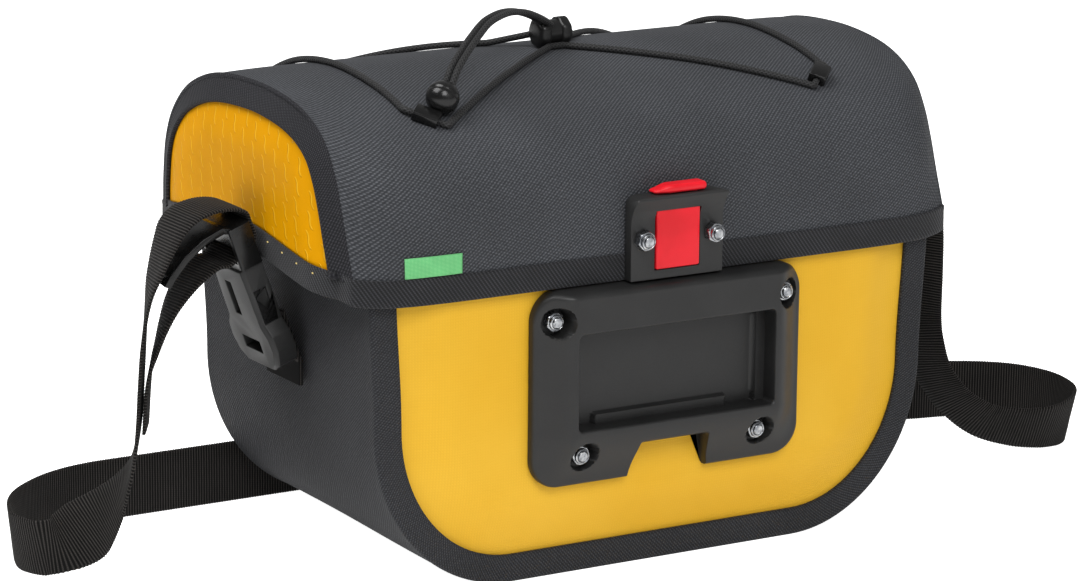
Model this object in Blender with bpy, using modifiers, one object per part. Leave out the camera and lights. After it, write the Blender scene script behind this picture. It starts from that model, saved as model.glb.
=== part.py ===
"""A bicycle handlebar bag, closed and standing on the floor, in metres.

The plate side faces -Y, the width runs along X, and the origin is on the floor under the bag's middle.
"""

import math

import bmesh
import bpy
import numpy as np
from mathutils import Matrix, Vector

MM = 0.001
CLEARANCE = 0.3 * MM
MERGE = 0.001 * MM
SHARP_ANGLE = math.radians(35)
CUT_REACH = 20 * MM

# Body sizes: the gusset band with a lip over each panel
BODY_WIDTH = 253 * MM
BODY_DEPTH = 146 * MM
BODY_HEIGHT = 139 * MM
BODY_SIDE_STEPS = 5
BODY_CORNER_STEPS = 8
CORNER_REACH = 60 * MM
CORNER_RISE = 66 * MM
SIDE_TAPER = 2.5 * MM
REAR_TAPER = 3.5 * MM
GUSSET_WALL = 1.6 * MM
GUSSET_EDGE = 1.2 * MM
LIP_WIDTH = 11 * MM
PANEL_WALL = 1.4 * MM
FRONT_BULGE = 5.1 * MM
REAR_BULGE = 3 * MM
BULGE_RUN = 22 * MM
BULGE_TOP_FADE = 14 * MM

# Lid sizes: a hood, its two ends and the tape round its lower edge
LID_SIDE_OVERHANG = 7 * MM
LID_DEPTH_OVERHANG = 10 * MM
LID_WIDTH = BODY_WIDTH + 2 * LID_SIDE_OVERHANG
LID_DEPTH = BODY_DEPTH + 2 * LID_DEPTH_OVERHANG
LID_OFFSET = 3.3 * MM
LID_RISE = 66 * MM
HEM_DROP = 15 * MM
HEM_HEIGHT = BODY_HEIGHT - HEM_DROP
HOOD_WALL = 1.6 * MM
HOOD_CORNER_POWER = 6
END_BORDER = 11 * MM
END_FLARE = 4 * MM
END_PANEL_BULGE = 3.4 * MM
END_BULGE_RUN = 16 * MM
END_PANEL_WALL = 1.4 * MM
END_TUCK = 5 * MM
END_ARCH = 8 * MM
END_LIFT = 2.2 * MM
ARCH_PEAK = 12 * MM
ARCH_HALF_SPAN = 0.48 * LID_DEPTH
TAPE_HEIGHT = 8.8 * MM
TAPE_THICKNESS = 3 * MM
TAPE_PROUD = 0.4 * MM
HEM_LEAN_GAP = 0.9 * MM
HINGE_END_GAP = 26.5 * MM
HINGE_WIDTH = BODY_WIDTH - 2 * HINGE_END_GAP
HINGE_WALL = 1.2 * MM
HINGE_DROP = 7 * MM

# Label sizes
LABEL_LENGTH = 23.5 * MM
LABEL_HEIGHT = 7.6 * MM
LABEL_THICKNESS = 0.8 * MM
LABEL_X = -103.4 * MM
LABEL_RISE = 5.6 * MM
LABEL_Z = HEM_HEIGHT + LABEL_RISE

# Mounting plate sizes
PLATE_WIDTH = 121 * MM
PLATE_HEIGHT = 77.5 * MM
PLATE_DROP = 9.5 * MM
PLATE_TOP = HEM_HEIGHT - PLATE_DROP
PLATE_BOTTOM = PLATE_TOP - PLATE_HEIGHT
PLATE_THICKNESS = 11.5 * MM
PLATE_RIM = 4 * MM
PLATE_SIDE_SLOPE = 14.5 * MM
PLATE_FOOT_SLOPE = 21 * MM
PLATE_TOP_SLOPE = 0.6 * MM
PLATE_CORNER = 12 * MM
PLATE_FACE_CORNER = 7 * MM
PLATE_CORNER_STEPS = 4
RECESS_WIDTH = 88.8 * MM
RECESS_HEIGHT = 37.5 * MM
RECESS_RISE = 23 * MM
RECESS_BOTTOM = PLATE_BOTTOM + RECESS_RISE
RECESS_FLOOR = 1.4 * MM
NOTCH_TOP_WIDTH = 31 * MM
NOTCH_FLARE = 5 * MM
NOTCH_HEIGHT = 14.5 * MM
NOTCH_CORNER = 1.5 * MM
RECESS_CORNER = 2 * MM
SEAT_RADIUS = 5.6 * MM
SEAT_FLOOR = 2.2 * MM
UPPER_NUT_SPREAD = 51.9 * MM
UPPER_NUT_DROP = 11.9 * MM
LOWER_NUT_SPREAD = 39.9 * MM
LOWER_NUT_RISE = 12 * MM

# Nut sizes
NUT_ACROSS_FLATS = 7 * MM
NUT_HEIGHT = 3.2 * MM
COLLAR_RADIUS = 3.1 * MM
COLLAR_HEIGHT = 1.3 * MM
BOLT_RADIUS = 2 * MM
BOLT_PROUD = 0.5 * MM

# Latch sizes: the bracket and its red slider
BRACKET_WIDTH = 41.4 * MM
BRACKET_GAP = 0.5 * MM
BRACKET_HEIGHT = 26 * MM
BRACKET_THICKNESS = 4.6 * MM
BRACKET_BACK = 1.4 * MM
VISOR_HEIGHT = 7 * MM
VISOR_REACH = 4.4 * MM
VISOR_LIP = 1.2 * MM
VISOR_CORNER = 4 * MM
BRACKET_NUT_SPREAD = 15.6 * MM
BRACKET_NUT_RISE = 16 * MM
LATCH_WIDTH = 19.5 * MM
LATCH_FLOOR = 3.6 * MM
LATCH_BRIDGE = 0.6 * MM
LATCH_PROUD = 0.7 * MM
THUMB_WIDTH = 23 * MM
THUMB_REACH = 4 * MM
THUMB_GAP = 0.8 * MM
THUMB_THICKNESS = 3.4 * MM

# Cord sizes: the elastic, its clips, lock and ball
CORD_RADIUS = 1.3 * MM
CORD_BORE_GAP = 0.4 * MM
CORD_SEAT_GAP = 0.7 * MM
BOW_X = -3.5 * MM
CLIP_SPREAD = 0.663 * LID_WIDTH / 2
CLIP_FRONT_Y = LID_OFFSET - 0.678 * LID_DEPTH / 2
CLIP_REAR_Y = LID_OFFSET + 0.755 * LID_DEPTH / 2
CLIP_TURN = math.radians(45)
CLIP_WIDTH = 10 * MM
CLIP_LENGTH = 7 * MM
CLIP_ROOF = 1.2 * MM
CLIP_CORNER = 0.8 * MM
RUN_STEPS = 11
CORD_MOUTH_RUN = 1 * MM
CORD_BEND_RUN = 3.6 * MM
LOCK_LENGTH = 15 * MM
LOCK_RADIUS = 6 * MM
LOCK_CHAMFER = 1.5 * MM
LOCK_Y = 3.5 * MM
FRONT_PASS_Y = -4.8 * MM
REAR_PASS_Y = 2.8 * MM
REAR_PASS_DROP = 0.4 * MM
PASS_HALF_LENGTH = 3.5 * MM
HOOK_RADIUS = 2.9 * MM
HOOK_LENGTH = 6 * MM
HOOK_CHAMFER = 1 * MM
HOOK_X = 10 * MM
BALL_RADIUS = 6.4 * MM
BALL_ALONG = 4.5 * MM
BALL_BEHIND = 7.4 * MM
LOOP_HALF_SPACING = 1.5 * MM
LOOP_RISE = 18 * MM

# Buckle sizes
BUCKLE_WIDTH = 30 * MM
BUCKLE_THICKNESS = 9.5 * MM
SOCKET_LENGTH = 44.5 * MM
CLIP_HALF_LENGTH = 17 * MM
BUCKLE_LEAN = math.radians(20)
BUCKLE_DROP = 58 * MM
BUCKLE_FOOT_Z = BODY_HEIGHT - BUCKLE_DROP
BUCKLE_Y = -2.5 * MM
BUCKLE_STANDOFF = 2.6 * MM
LONG_WINDOW_HEIGHT = 14 * MM
LONG_WINDOW_WIDTH = 4.6 * MM
LONG_WINDOW_Z = 29.5 * MM
LONG_WINDOW_ASIDE = 3 * MM
LOW_WINDOW_HEIGHT = 5 * MM
LOW_WINDOW_WIDTH = 14 * MM
LOW_WINDOW_Z = 10 * MM
SIDE_GRIP_LENGTH = 14 * MM
SIDE_GRIP_DEPTH = 3 * MM
SIDE_GRIP_WIDTH = 5.2 * MM
SIDE_GRIP_Z = 27.5 * MM
SOCKET_CHAMFER = 1.5 * MM
CLIP_HALF_CORNER = 1.2 * MM
SLOT_RISE = 2.5 * MM
SLOT_HEIGHT = 7.8 * MM
ANCHOR_WIDTH = 27 * MM
ANCHOR_HEIGHT = 22 * MM
ANCHOR_THICKNESS = 1.8 * MM
ANCHOR_FOOT = 9 * MM
TONGUE_WIDTH = 26 * MM
TONGUE_THICKNESS = 2.4 * MM

# Webbing sizes
WEB_WIDTH = 25 * MM
WEB_THICKNESS = 1.6 * MM
WEB_STEP = 9 * MM
LOOP_REACH = 98 * MM
REAR_RUN_GAP = 4.5 * MM

PLATE_BACK = -(BODY_DEPTH / 2 - GUSSET_WALL - CLEARANCE + FRONT_BULGE) - CLEARANCE
PLATE_FACE = PLATE_BACK - PLATE_THICKNESS


def smooth(value, low, high):
    """0 below low, 1 above high, and an even step between them."""
    share = min(max((value - low) / (high - low), 0.0), 1.0)
    return share * share * (3 - 2 * share)


def clear_scene():
    for obj in list(bpy.data.objects):
        bpy.data.objects.remove(obj, do_unlink=True)


def collection(name):
    made = bpy.data.collections.new(name)
    bpy.context.scene.collection.children.link(made)
    return made


def material(name, colour, roughness, metallic=0.0):
    made = bpy.data.materials.new(name)
    made.use_nodes = True
    shader = made.node_tree.nodes["Principled BSDF"]
    shader.inputs["Base Color"].default_value = (*colour, 1.0)
    shader.inputs["Roughness"].default_value = roughness
    shader.inputs["Metallic"].default_value = metallic
    return made


def add_object(name, mesh, finish, group):
    obj = bpy.data.objects.new(name, mesh)
    if finish is not None:
        mesh.materials.append(finish)
    group.objects.link(obj)
    return obj


def mesh_from_bmesh(name, bm):
    bmesh.ops.recalc_face_normals(bm, faces=bm.faces)
    mesh = bpy.data.meshes.new(name)
    bm.to_mesh(mesh)
    bm.free()
    mesh.shade_smooth()
    mesh.set_sharp_from_angle(angle=SHARP_ANGLE)
    return mesh


def surface_mesh(name, patches, inside):
    """An open surface of joined patches, each of rows of points, facing away from the point inside."""
    bm = bmesh.new()
    for rows in patches:
        lines = [[bm.verts.new(point) for point in row] for row in rows]
        for near, far in zip(lines, lines[1:]):
            for i in range(len(near) - 1):
                bm.faces.new((near[i], near[i + 1], far[i + 1], far[i]))
    bmesh.ops.remove_doubles(bm, verts=bm.verts, dist=MERGE)
    bmesh.ops.recalc_face_normals(bm, faces=bm.faces)
    bm.normal_update()
    outward = sum((face.calc_center_median() - Vector(inside)).dot(face.normal) for face in bm.faces)
    if outward < 0:
        bmesh.ops.reverse_faces(bm, faces=bm.faces)
    mesh = bpy.data.meshes.new(name)
    bm.to_mesh(mesh)
    bm.free()
    mesh.shade_smooth()
    mesh.set_sharp_from_angle(angle=SHARP_ANGLE)
    return mesh


def shell(name, patches, inside, wall, finish, group):
    """A cloth wall: the surface through the patches is its outer face."""
    obj = add_object(name, surface_mesh(name, patches, inside), finish, group)
    solid = obj.modifiers.new("Wall", "SOLIDIFY")
    solid.thickness = wall
    solid.offset = -1.0
    solid.use_even_offset = True
    return obj


def box_mesh(name, size, centre, bevel=0.0, bevel_axis=None, segments=2):
    """A box with its edges, or only those along one axis, rounded."""
    bm = bmesh.new()
    bmesh.ops.create_cube(bm, size=1.0)
    bmesh.ops.scale(bm, vec=size, verts=bm.verts)
    bmesh.ops.translate(bm, vec=centre, verts=bm.verts)
    if bevel:
        edges = [edge for edge in bm.edges if bevel_axis is None or runs_along(edge, bevel_axis)]
        bmesh.ops.bevel(bm, geom=edges, offset=bevel, segments=segments, profile=0.5, affect="EDGES")
    return mesh_from_bmesh(name, bm)


def runs_along(edge, axis):
    along = edge.verts[1].co - edge.verts[0].co
    return abs(along.normalized()[axis]) > 0.8


def ring_stack(name, rings, steps=12):
    """A turned solid along +Z; even and odd points of a ring may lie on different radii, as on a hexagon."""
    bm = bmesh.new()
    lines = []
    for even, odd, height in rings:
        line = []
        for i in range(steps):
            angle = 2 * math.pi * i / steps
            radius = odd if i % 2 else even
            line.append(bm.verts.new((radius * math.cos(angle), radius * math.sin(angle), height)))
        lines.append(line)
    for low, high in zip(lines, lines[1:]):
        for i in range(steps):
            j = (i + 1) % steps
            bm.faces.new((low[i], low[j], high[j], high[i]))
    bm.faces.new(lines[0][::-1])
    bm.faces.new(lines[-1])
    return mesh_from_bmesh(name, bm)


def boolean(obj, cutter, operation="DIFFERENCE"):
    modifier = obj.modifiers.new(operation.title(), "BOOLEAN")
    modifier.operation = operation
    modifier.object = cutter
    modifier.solver = "EXACT"


def as_cutter(obj):
    obj.hide_render = True
    obj.display_type = "WIRE"
    return obj


def tube(name, points, radius, finish, group, cyclic=False):
    """A cord through the points, with eight sides."""
    curve = bpy.data.curves.new(name, "CURVE")
    curve.dimensions = "3D"
    curve.bevel_depth = radius
    curve.bevel_resolution = 2
    curve.use_fill_caps = True
    spline = curve.splines.new("POLY")
    spline.points.add(len(points) - 1)
    for slot, point in zip(spline.points, points):
        slot.co = (*point, 1.0)
    spline.use_cyclic_u = cyclic
    return add_object(name, curve, finish, group)


def curve_to_mesh(obj, group):
    """The curve's own shape as a mesh object, so that it can cut."""
    name = obj.name
    graph = bpy.context.evaluated_depsgraph_get()
    mesh = bpy.data.meshes.new_from_object(obj.evaluated_get(graph))
    bm = bmesh.new()
    bm.from_mesh(mesh)
    bmesh.ops.remove_doubles(bm, verts=bm.verts, dist=1e-5)
    bmesh.ops.recalc_face_normals(bm, faces=bm.faces)
    bm.to_mesh(mesh)
    bm.free()
    made = bpy.data.objects.new(name + "_mesh", mesh)
    made.matrix_world = obj.matrix_world
    group.objects.link(made)
    bpy.data.objects.remove(obj, do_unlink=True)
    return made


# Body

def body_half_width(z, depth_share):
    """Half the body's width at a height; depth_share is 0 on the plate side and 1 on the far side."""
    narrowing = SIDE_TAPER * (1 - smooth(z, CORNER_RISE, HEM_HEIGHT))
    return BODY_WIDTH / 2 - narrowing - REAR_TAPER * depth_share


def body_outline(inset, depth_share):
    """Points (x, z) down the left side, round the two lower corners and up the right side."""
    right = []
    for z in np.linspace(BODY_HEIGHT, CORNER_RISE, BODY_SIDE_STEPS, endpoint=False):
        right.append((body_half_width(z, depth_share) - inset, z))
    centre_x = body_half_width(CORNER_RISE, depth_share) - CORNER_REACH
    for angle in np.linspace(0, math.pi / 2, BODY_CORNER_STEPS + 1):
        x = centre_x + (CORNER_REACH - inset) * math.cos(angle)
        z = CORNER_RISE - (CORNER_RISE - inset) * math.sin(angle)
        right.append((x, z))
    left = [(-x, z) for x, z in right]
    return left + [(0.0, inset)] + right[::-1]


def build_gusset(finish, group):
    front = -BODY_DEPTH / 2
    rear = BODY_DEPTH / 2
    columns = (
        (LIP_WIDTH, front),
        (GUSSET_EDGE, front),
        (0.0, front + GUSSET_EDGE),
        (0.0, front / 3),
        (0.0, rear / 3),
        (0.0, rear - GUSSET_EDGE),
        (GUSSET_EDGE, rear),
        (LIP_WIDTH, rear),
    )
    lines = []
    for inset, y in columns:
        share = (y - front) / BODY_DEPTH
        lines.append([(x, y, z) for x, z in body_outline(inset, share)])
    rows = [list(row) for row in zip(*lines)]
    return shell("body_gusset", [rows], (0, 0, BODY_HEIGHT), GUSSET_WALL, finish, group)


def panel_face(side):
    """The y of the panel's outer face where it lies against the lip, on side -1 or 1."""
    return side * (BODY_DEPTH / 2 - GUSSET_WALL - CLEARANCE)


def build_panel(name, side, bulge, finish, group):
    """A yellow panel inside the gusset band, swelling out between its lips."""
    depth_share = 0.0 if side < 0 else 1.0
    edge = GUSSET_WALL + CLEARANCE
    insets = [edge] + [LIP_WIDTH + share * BULGE_RUN for share in (0, 0.25, 0.5, 0.75, 1)]
    lines = []
    for inset in insets:
        swell = bulge * smooth(inset, LIP_WIDTH, LIP_WIDTH + BULGE_RUN)
        line = []
        for x, z in body_outline(inset, depth_share):
            faded = 1 - smooth(z, PLATE_TOP, PLATE_TOP + BULGE_TOP_FADE)
            line.append((x, panel_face(side) + side * swell * faded, z))
        lines.append(line)
    band = [list(row) for row in zip(*lines)]
    innermost = lines[-1]
    half = len(innermost) // 2
    rungs = []
    for left, right in zip(innermost[:half], innermost[:half:-1]):
        rungs.append([left, (0.0, left[1], left[2]), right])
    return shell(name, [band, rungs], (0, 0, BODY_HEIGHT / 2), PANEL_WALL, finish, group)


# Lid

HOOD_COLUMNS = ("middle_depth", "middle_rise", "end_depth", "end_rise")
HOOD_ROWS = (
    (-1.000, 0.000, -0.905, 0.030),
    (-1.000, 0.190, -0.845, 0.235),
    (-0.995, 0.385, -0.790, 0.435),
    (-0.945, 0.575, -0.730, 0.605),
    (-0.825, 0.730, -0.640, 0.758),
    (-0.630, 0.848, -0.488, 0.871),
    (-0.365, 0.940, -0.280, 0.935),
    (0.020, 0.990, 0.020, 0.960),
    (0.370, 0.945, 0.390, 0.925),
    (0.660, 0.815, 0.670, 0.805),
    (0.865, 0.630, 0.840, 0.630),
    (0.968, 0.405, 0.925, 0.435),
    (1.000, 0.180, 0.955, 0.212),
    (1.000, 0.000, 0.962, 0.030),
)
HOOD_STATIONS = (-1, -0.985, -0.955, -0.9, -0.75, -0.45, 0, 0.45, 0.75, 0.9, 0.955, 0.985, 1)


def hood_end_share(x):
    """0 along the hood's middle, rising round the corner to 1 at its end."""
    reach = min(abs(x) / (LID_WIDTH / 2), 1.0)
    return 1 - (1 - reach**HOOD_CORNER_POWER) ** (1 / HOOD_CORNER_POWER)


def hood_profile(x):
    """The hood's section (y, z) at x, from the plate side's hem over the top to the far hem."""
    share = hood_end_share(x)
    section = []
    for row in HOOD_ROWS:
        at = dict(zip(HOOD_COLUMNS, row))
        depth = at["middle_depth"] * (1 - share) + at["end_depth"] * share
        rise = at["middle_rise"] * (1 - share) + at["end_rise"] * share
        section.append((LID_OFFSET + depth * LID_DEPTH / 2, HEM_HEIGHT + rise * LID_RISE))
    return section


def inset_section(section, inset):
    """The section moved inwards by the same distance all round."""
    moved = []
    for i, (y, z) in enumerate(section):
        before = section[max(i - 1, 0)]
        after = section[min(i + 1, len(section) - 1)]
        along = Vector((after[0] - before[0], after[1] - before[1])).normalized()
        if i in (0, len(section) - 1):
            along = Vector((0.0, 1.0 if i == 0 else -1.0))
        moved.append((y + along.y * inset, z - along.x * inset))
    return moved


def arch_height(y):
    """The height of the lid's lower edge along its ends."""
    share = min(abs(y - ARCH_PEAK) / ARCH_HALF_SPAN, 1.0)
    return HEM_HEIGHT + END_LIFT + END_ARCH * math.cos(share * math.pi / 2) ** 2


def border_section():
    """The inner edge of the hood's end border, its two feet on the arched hem."""
    section = inset_section(hood_profile(LID_WIDTH / 2), END_BORDER)
    near, far = section[0][0], section[-1][0]
    return [(near, arch_height(near)), *section[1:-1], (far, arch_height(far))]


def build_hood(finish, group):
    end_x = LID_WIDTH / 2
    outer_x = end_x + END_FLARE
    lines = [[(-outer_x, y, z) for y, z in border_section()]]
    for station in HOOD_STATIONS:
        x = station * end_x
        lines.append([(x, y, z) for y, z in hood_profile(x)])
    lines.append([(outer_x, y, z) for y, z in border_section()])
    return shell("lid_hood", [lines], (0, LID_OFFSET, HEM_HEIGHT), HOOD_WALL, finish, group)


def end_panel_x(distance):
    """How far out the yellow end stands, at a distance in from the lid's fold."""
    under = LID_WIDTH / 2 + END_FLARE * END_TUCK / END_BORDER - HOOD_WALL - 2 * CLEARANCE
    beside = LID_WIDTH / 2 + END_FLARE - HOOD_WALL - CLEARANCE
    full = beside + END_PANEL_BULGE
    stops = (END_TUCK, END_BORDER, END_BORDER + END_BULGE_RUN)
    return float(np.interp(distance, stops, (under, beside, full)))


def build_lid_end(name, side, finish, group):
    """The yellow end inside its grey border, down to the arched hem."""
    section = hood_profile(LID_WIDTH / 2)
    insets = (END_TUCK, END_BORDER, END_BORDER + END_BULGE_RUN / 2, END_BORDER + END_BULGE_RUN)
    lines = []
    for inset in insets:
        line = []
        for i, (y, z) in enumerate(inset_section(section, inset)):
            low = arch_height(y) + CLEARANCE
            height = low if i in (0, len(section) - 1) else max(z, low)
            line.append((side * end_panel_x(inset), y, height))
        lines.append(line)
    band = [list(row) for row in zip(*lines)]
    drops = []
    for x, y, z in lines[-1]:
        low = arch_height(y) + CLEARANCE
        drops.append([(x, y, z + (low - z) * share) for share in (0, 0.5, 1)])
    return shell(name, [band, drops], (0, LID_OFFSET, HEM_HEIGHT), END_PANEL_WALL, finish, group)


def hem_gap(x):
    """The gap under the hood's edge, wider where the hood leans in and its inner edge hangs lower."""
    return CLEARANCE + HEM_LEAN_GAP * hood_end_share(x)


def hem_path():
    """Points (x, y, top) once round the lid's lower edge, on the outside of the tape."""
    end_x = LID_WIDTH / 2
    stations = [station * end_x for station in HOOD_STATIONS]
    near = [(x, *hood_profile(x)[0]) for x in stations]
    far = [(x, *hood_profile(x)[-1]) for x in stations[::-1]]
    path = [(x, y - TAPE_PROUD, z - hem_gap(x)) for x, y, z in near]
    first, last = near[-1][1], far[0][1]
    right = []
    for step in (0.07, 0.2, 0.38, 0.56, 0.74, 0.9):
        y = first + (last - first) * step
        reach = min(y - first, last - y)
        x = end_panel_x(max(reach, END_TUCK)) + TAPE_PROUD
        right.append((x, y, arch_height(y) - CLEARANCE))
    path += right
    path += [(x, y + TAPE_PROUD, z - hem_gap(x)) for x, y, z in far]
    path += [(-x, y, z) for x, y, z in right[::-1]]
    return path


def build_tape(finish, group):
    path = hem_path()
    rows = [[(x, y, top), (x, y, top - TAPE_HEIGHT)] for x, y, top in path + path[:1]]
    return shell("hem_tape", [rows], (0, LID_OFFSET, HEM_HEIGHT), TAPE_THICKNESS, finish, group)


def build_hinge(finish, group):
    """A strip of cloth from the far panel's top over to the upright foot of the hood's far wall."""
    inner = panel_face(1) + CLEARANCE
    outer = LID_OFFSET + LID_DEPTH / 2 - HOOD_WALL - CLEARANCE
    outer_top = HEM_HEIGHT + HOOD_ROWS[-2][1] * LID_RISE - HINGE_WALL
    section = (
        (inner, BODY_HEIGHT - HINGE_DROP),
        (inner, BODY_HEIGHT - HINGE_WALL),
        ((inner + outer) / 2, BODY_HEIGHT),
        (outer, outer_top),
        (outer, outer_top - HINGE_DROP),
    )
    rows = [[(x, y, z) for y, z in section] for x in (-HINGE_WIDTH / 2, HINGE_WIDTH / 2)]
    middle = (0, (inner + outer) / 2, HEM_HEIGHT)
    return shell("lid_hinge", [rows], middle, HINGE_WALL, finish, group)


def build_label(finish, group):
    """The small bare label on the hood just over the tape."""
    section_y = float(np.interp(LABEL_Z, *zip(*[(z, y) for y, z in hood_profile(LABEL_X)[:4]])))
    size = (LABEL_LENGTH, LABEL_THICKNESS, LABEL_HEIGHT)
    obj = add_object("side_tab", box_mesh("side_tab", size, (0, 0, 0)), finish, group)
    near = hood_profile(LABEL_X - LABEL_LENGTH / 2)[0][0]
    far = hood_profile(LABEL_X + LABEL_LENGTH / 2)[0][0]
    turn = math.atan2(far - near, LABEL_LENGTH)
    obj.location = (LABEL_X, section_y - LABEL_THICKNESS / 2 - 2 * CLEARANCE, LABEL_Z)
    obj.rotation_euler = (0, 0, turn)
    return obj


# Mounting plate

def plate_ring(inset, foot_inset, top_inset, y, corner):
    """A level of the plate: a rectangle with round corners, inset from the plate's outline."""
    half = PLATE_WIDTH / 2 - inset - corner
    foot = PLATE_BOTTOM + foot_inset + corner
    top = PLATE_TOP - top_inset - corner
    ring = []
    for quarter, (x, z) in enumerate(((half, foot), (half, top), (-half, top), (-half, foot))):
        for step in range(PLATE_CORNER_STEPS + 1):
            angle = math.pi / 2 * (quarter - 1 + step / PLATE_CORNER_STEPS)
            ring.append((x + corner * math.cos(angle), y, z + corner * math.sin(angle)))
    return ring


def plate_body_mesh():
    """A slab whose face is raised like a mesa: steep flanks left and right, a long slope at the foot."""
    levels = (
        plate_ring(0, 0, 0, PLATE_BACK, PLATE_CORNER),
        plate_ring(0, 0, 0, PLATE_BACK - PLATE_RIM, PLATE_CORNER),
        plate_ring(PLATE_SIDE_SLOPE, PLATE_FOOT_SLOPE, PLATE_TOP_SLOPE, PLATE_FACE, PLATE_FACE_CORNER),
    )
    bm = bmesh.new()
    rings = [[bm.verts.new(point) for point in level] for level in levels]
    count = len(rings[0])
    for low, high in zip(rings, rings[1:]):
        for i in range(count):
            j = (i + 1) % count
            bm.faces.new((low[i], low[j], high[j], high[i]))
    bm.faces.new(rings[0][::-1])
    bm.faces.new(rings[-1])
    return mesh_from_bmesh("mounting_plate", bm)


def cutter_box(name, size, centre, cutters, **rounding):
    return as_cutter(add_object(name, box_mesh(name, size, centre, **rounding), None, cutters))


def notch_mesh():
    """The notch in the plate's foot, wider below."""
    bm = bmesh.new()
    bmesh.ops.create_cube(bm, size=1.0)
    for vert in bm.verts:
        upper = vert.co.z > 0
        width = NOTCH_TOP_WIDTH if upper else NOTCH_TOP_WIDTH + 2 * NOTCH_FLARE
        z = PLATE_BOTTOM + (NOTCH_HEIGHT if upper else -NOTCH_HEIGHT)
        vert.co = (vert.co.x * width, PLATE_BACK + vert.co.y * 2 * CUT_REACH, z)
    edges = [edge for edge in bm.edges if runs_along(edge, 1) and edge.verts[0].co.z > PLATE_BOTTOM]
    bmesh.ops.bevel(bm, geom=edges, offset=NOTCH_CORNER, segments=2, profile=0.5, affect="EDGES")
    return mesh_from_bmesh("notch_cutter", bm)


def nut_places():
    """The plate's four nuts: name, x and height."""
    return (
        ("plate_nut_1", -UPPER_NUT_SPREAD, PLATE_TOP - UPPER_NUT_DROP),
        ("plate_nut_2", UPPER_NUT_SPREAD, PLATE_TOP - UPPER_NUT_DROP),
        ("plate_nut_3", -LOWER_NUT_SPREAD, PLATE_BOTTOM + LOWER_NUT_RISE),
        ("plate_nut_4", LOWER_NUT_SPREAD, PLATE_BOTTOM + LOWER_NUT_RISE),
    )


def build_plate(finish, steel, group, cutters):
    plate = add_object("mounting_plate", plate_body_mesh(), finish, group)
    depth = PLATE_THICKNESS - RECESS_FLOOR
    centre_y = PLATE_BACK - RECESS_FLOOR - depth
    size = (RECESS_WIDTH, 2 * depth, RECESS_HEIGHT)
    centre = (0, centre_y, RECESS_BOTTOM + RECESS_HEIGHT / 2)
    recess = cutter_box("recess_cutter", size, centre, cutters, bevel=RECESS_CORNER, bevel_axis=1)
    boolean(plate, recess)
    boolean(plate, as_cutter(add_object("notch_cutter", notch_mesh(), None, cutters)))
    rings = ((SEAT_RADIUS, SEAT_RADIUS, 0), (SEAT_RADIUS, SEAT_RADIUS, CUT_REACH))
    seat = ring_stack("seat_cutter", rings, 16)
    nut = nut_mesh()
    for name, x, z in nut_places():
        cutter = as_cutter(add_object(name + "_seat", seat, None, cutters))
        cutter.location = (x, PLATE_BACK - SEAT_FLOOR, z)
        cutter.rotation_euler = (math.pi / 2, 0, 0)
        boolean(plate, cutter)
        place_nut(name, nut, (x, PLATE_BACK - SEAT_FLOOR - CLEARANCE, z), steel, group)
    return plate


def nut_mesh():
    """A lock nut along +Z: hexagon, round collar and the end of its bolt."""
    corner = NUT_ACROSS_FLATS / math.sqrt(3)
    flat = NUT_ACROSS_FLATS / 2
    top = NUT_HEIGHT + COLLAR_HEIGHT
    rings = (
        (corner, flat, 0),
        (corner, flat, NUT_HEIGHT),
        (COLLAR_RADIUS, COLLAR_RADIUS, NUT_HEIGHT),
        (COLLAR_RADIUS, COLLAR_RADIUS, top),
        (BOLT_RADIUS, BOLT_RADIUS, top),
        (BOLT_RADIUS, BOLT_RADIUS, top + BOLT_PROUD),
    )
    return ring_stack("lock_nut", rings)


def place_nut(name, mesh, place, steel, group):
    if not mesh.materials:
        mesh.materials.append(steel)
    obj = bpy.data.objects.new(name, mesh)
    group.objects.link(obj)
    obj.location = place
    obj.rotation_euler = (math.pi / 2, 0, 0)
    return obj


# Latch

BRACKET_BACK_Y = LID_OFFSET - LID_DEPTH / 2 - TAPE_PROUD - 1.3 * CLEARANCE
BRACKET_FACE_Y = BRACKET_BACK_Y - BRACKET_THICKNESS
BRACKET_FOOT_Z = PLATE_TOP + BRACKET_GAP
BRACKET_TOP_Z = BRACKET_FOOT_Z + BRACKET_HEIGHT
VISOR_TOP_Z = BRACKET_TOP_Z + VISOR_HEIGHT


def extruded(outline, width):
    """An outline in (y, z), drawn out along X on both sides of the middle."""
    bm = bmesh.new()
    left = [bm.verts.new((-width / 2, y, z)) for y, z in outline]
    face = bm.faces.new(left)
    moved = bmesh.ops.extrude_face_region(bm, geom=[face])
    verts = [item for item in moved["geom"] if isinstance(item, bmesh.types.BMVert)]
    bmesh.ops.translate(bm, vec=(width, 0, 0), verts=verts)
    bm.normal_update()
    return bm


def bracket_outline():
    """The bracket's side view: a flat slab whose top flares out into a visor."""
    reach = BRACKET_FACE_Y - VISOR_REACH
    return (
        (BRACKET_BACK_Y, BRACKET_FOOT_Z),
        (BRACKET_FACE_Y, BRACKET_FOOT_Z),
        (BRACKET_FACE_Y, BRACKET_TOP_Z - VISOR_HEIGHT / 3),
        (BRACKET_FACE_Y - VISOR_REACH / 3, BRACKET_TOP_Z + VISOR_HEIGHT / 4),
        (reach, VISOR_TOP_Z - VISOR_LIP),
        (reach + VISOR_LIP / 3, VISOR_TOP_Z),
        (BRACKET_BACK_Y, VISOR_TOP_Z),
    )


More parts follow.
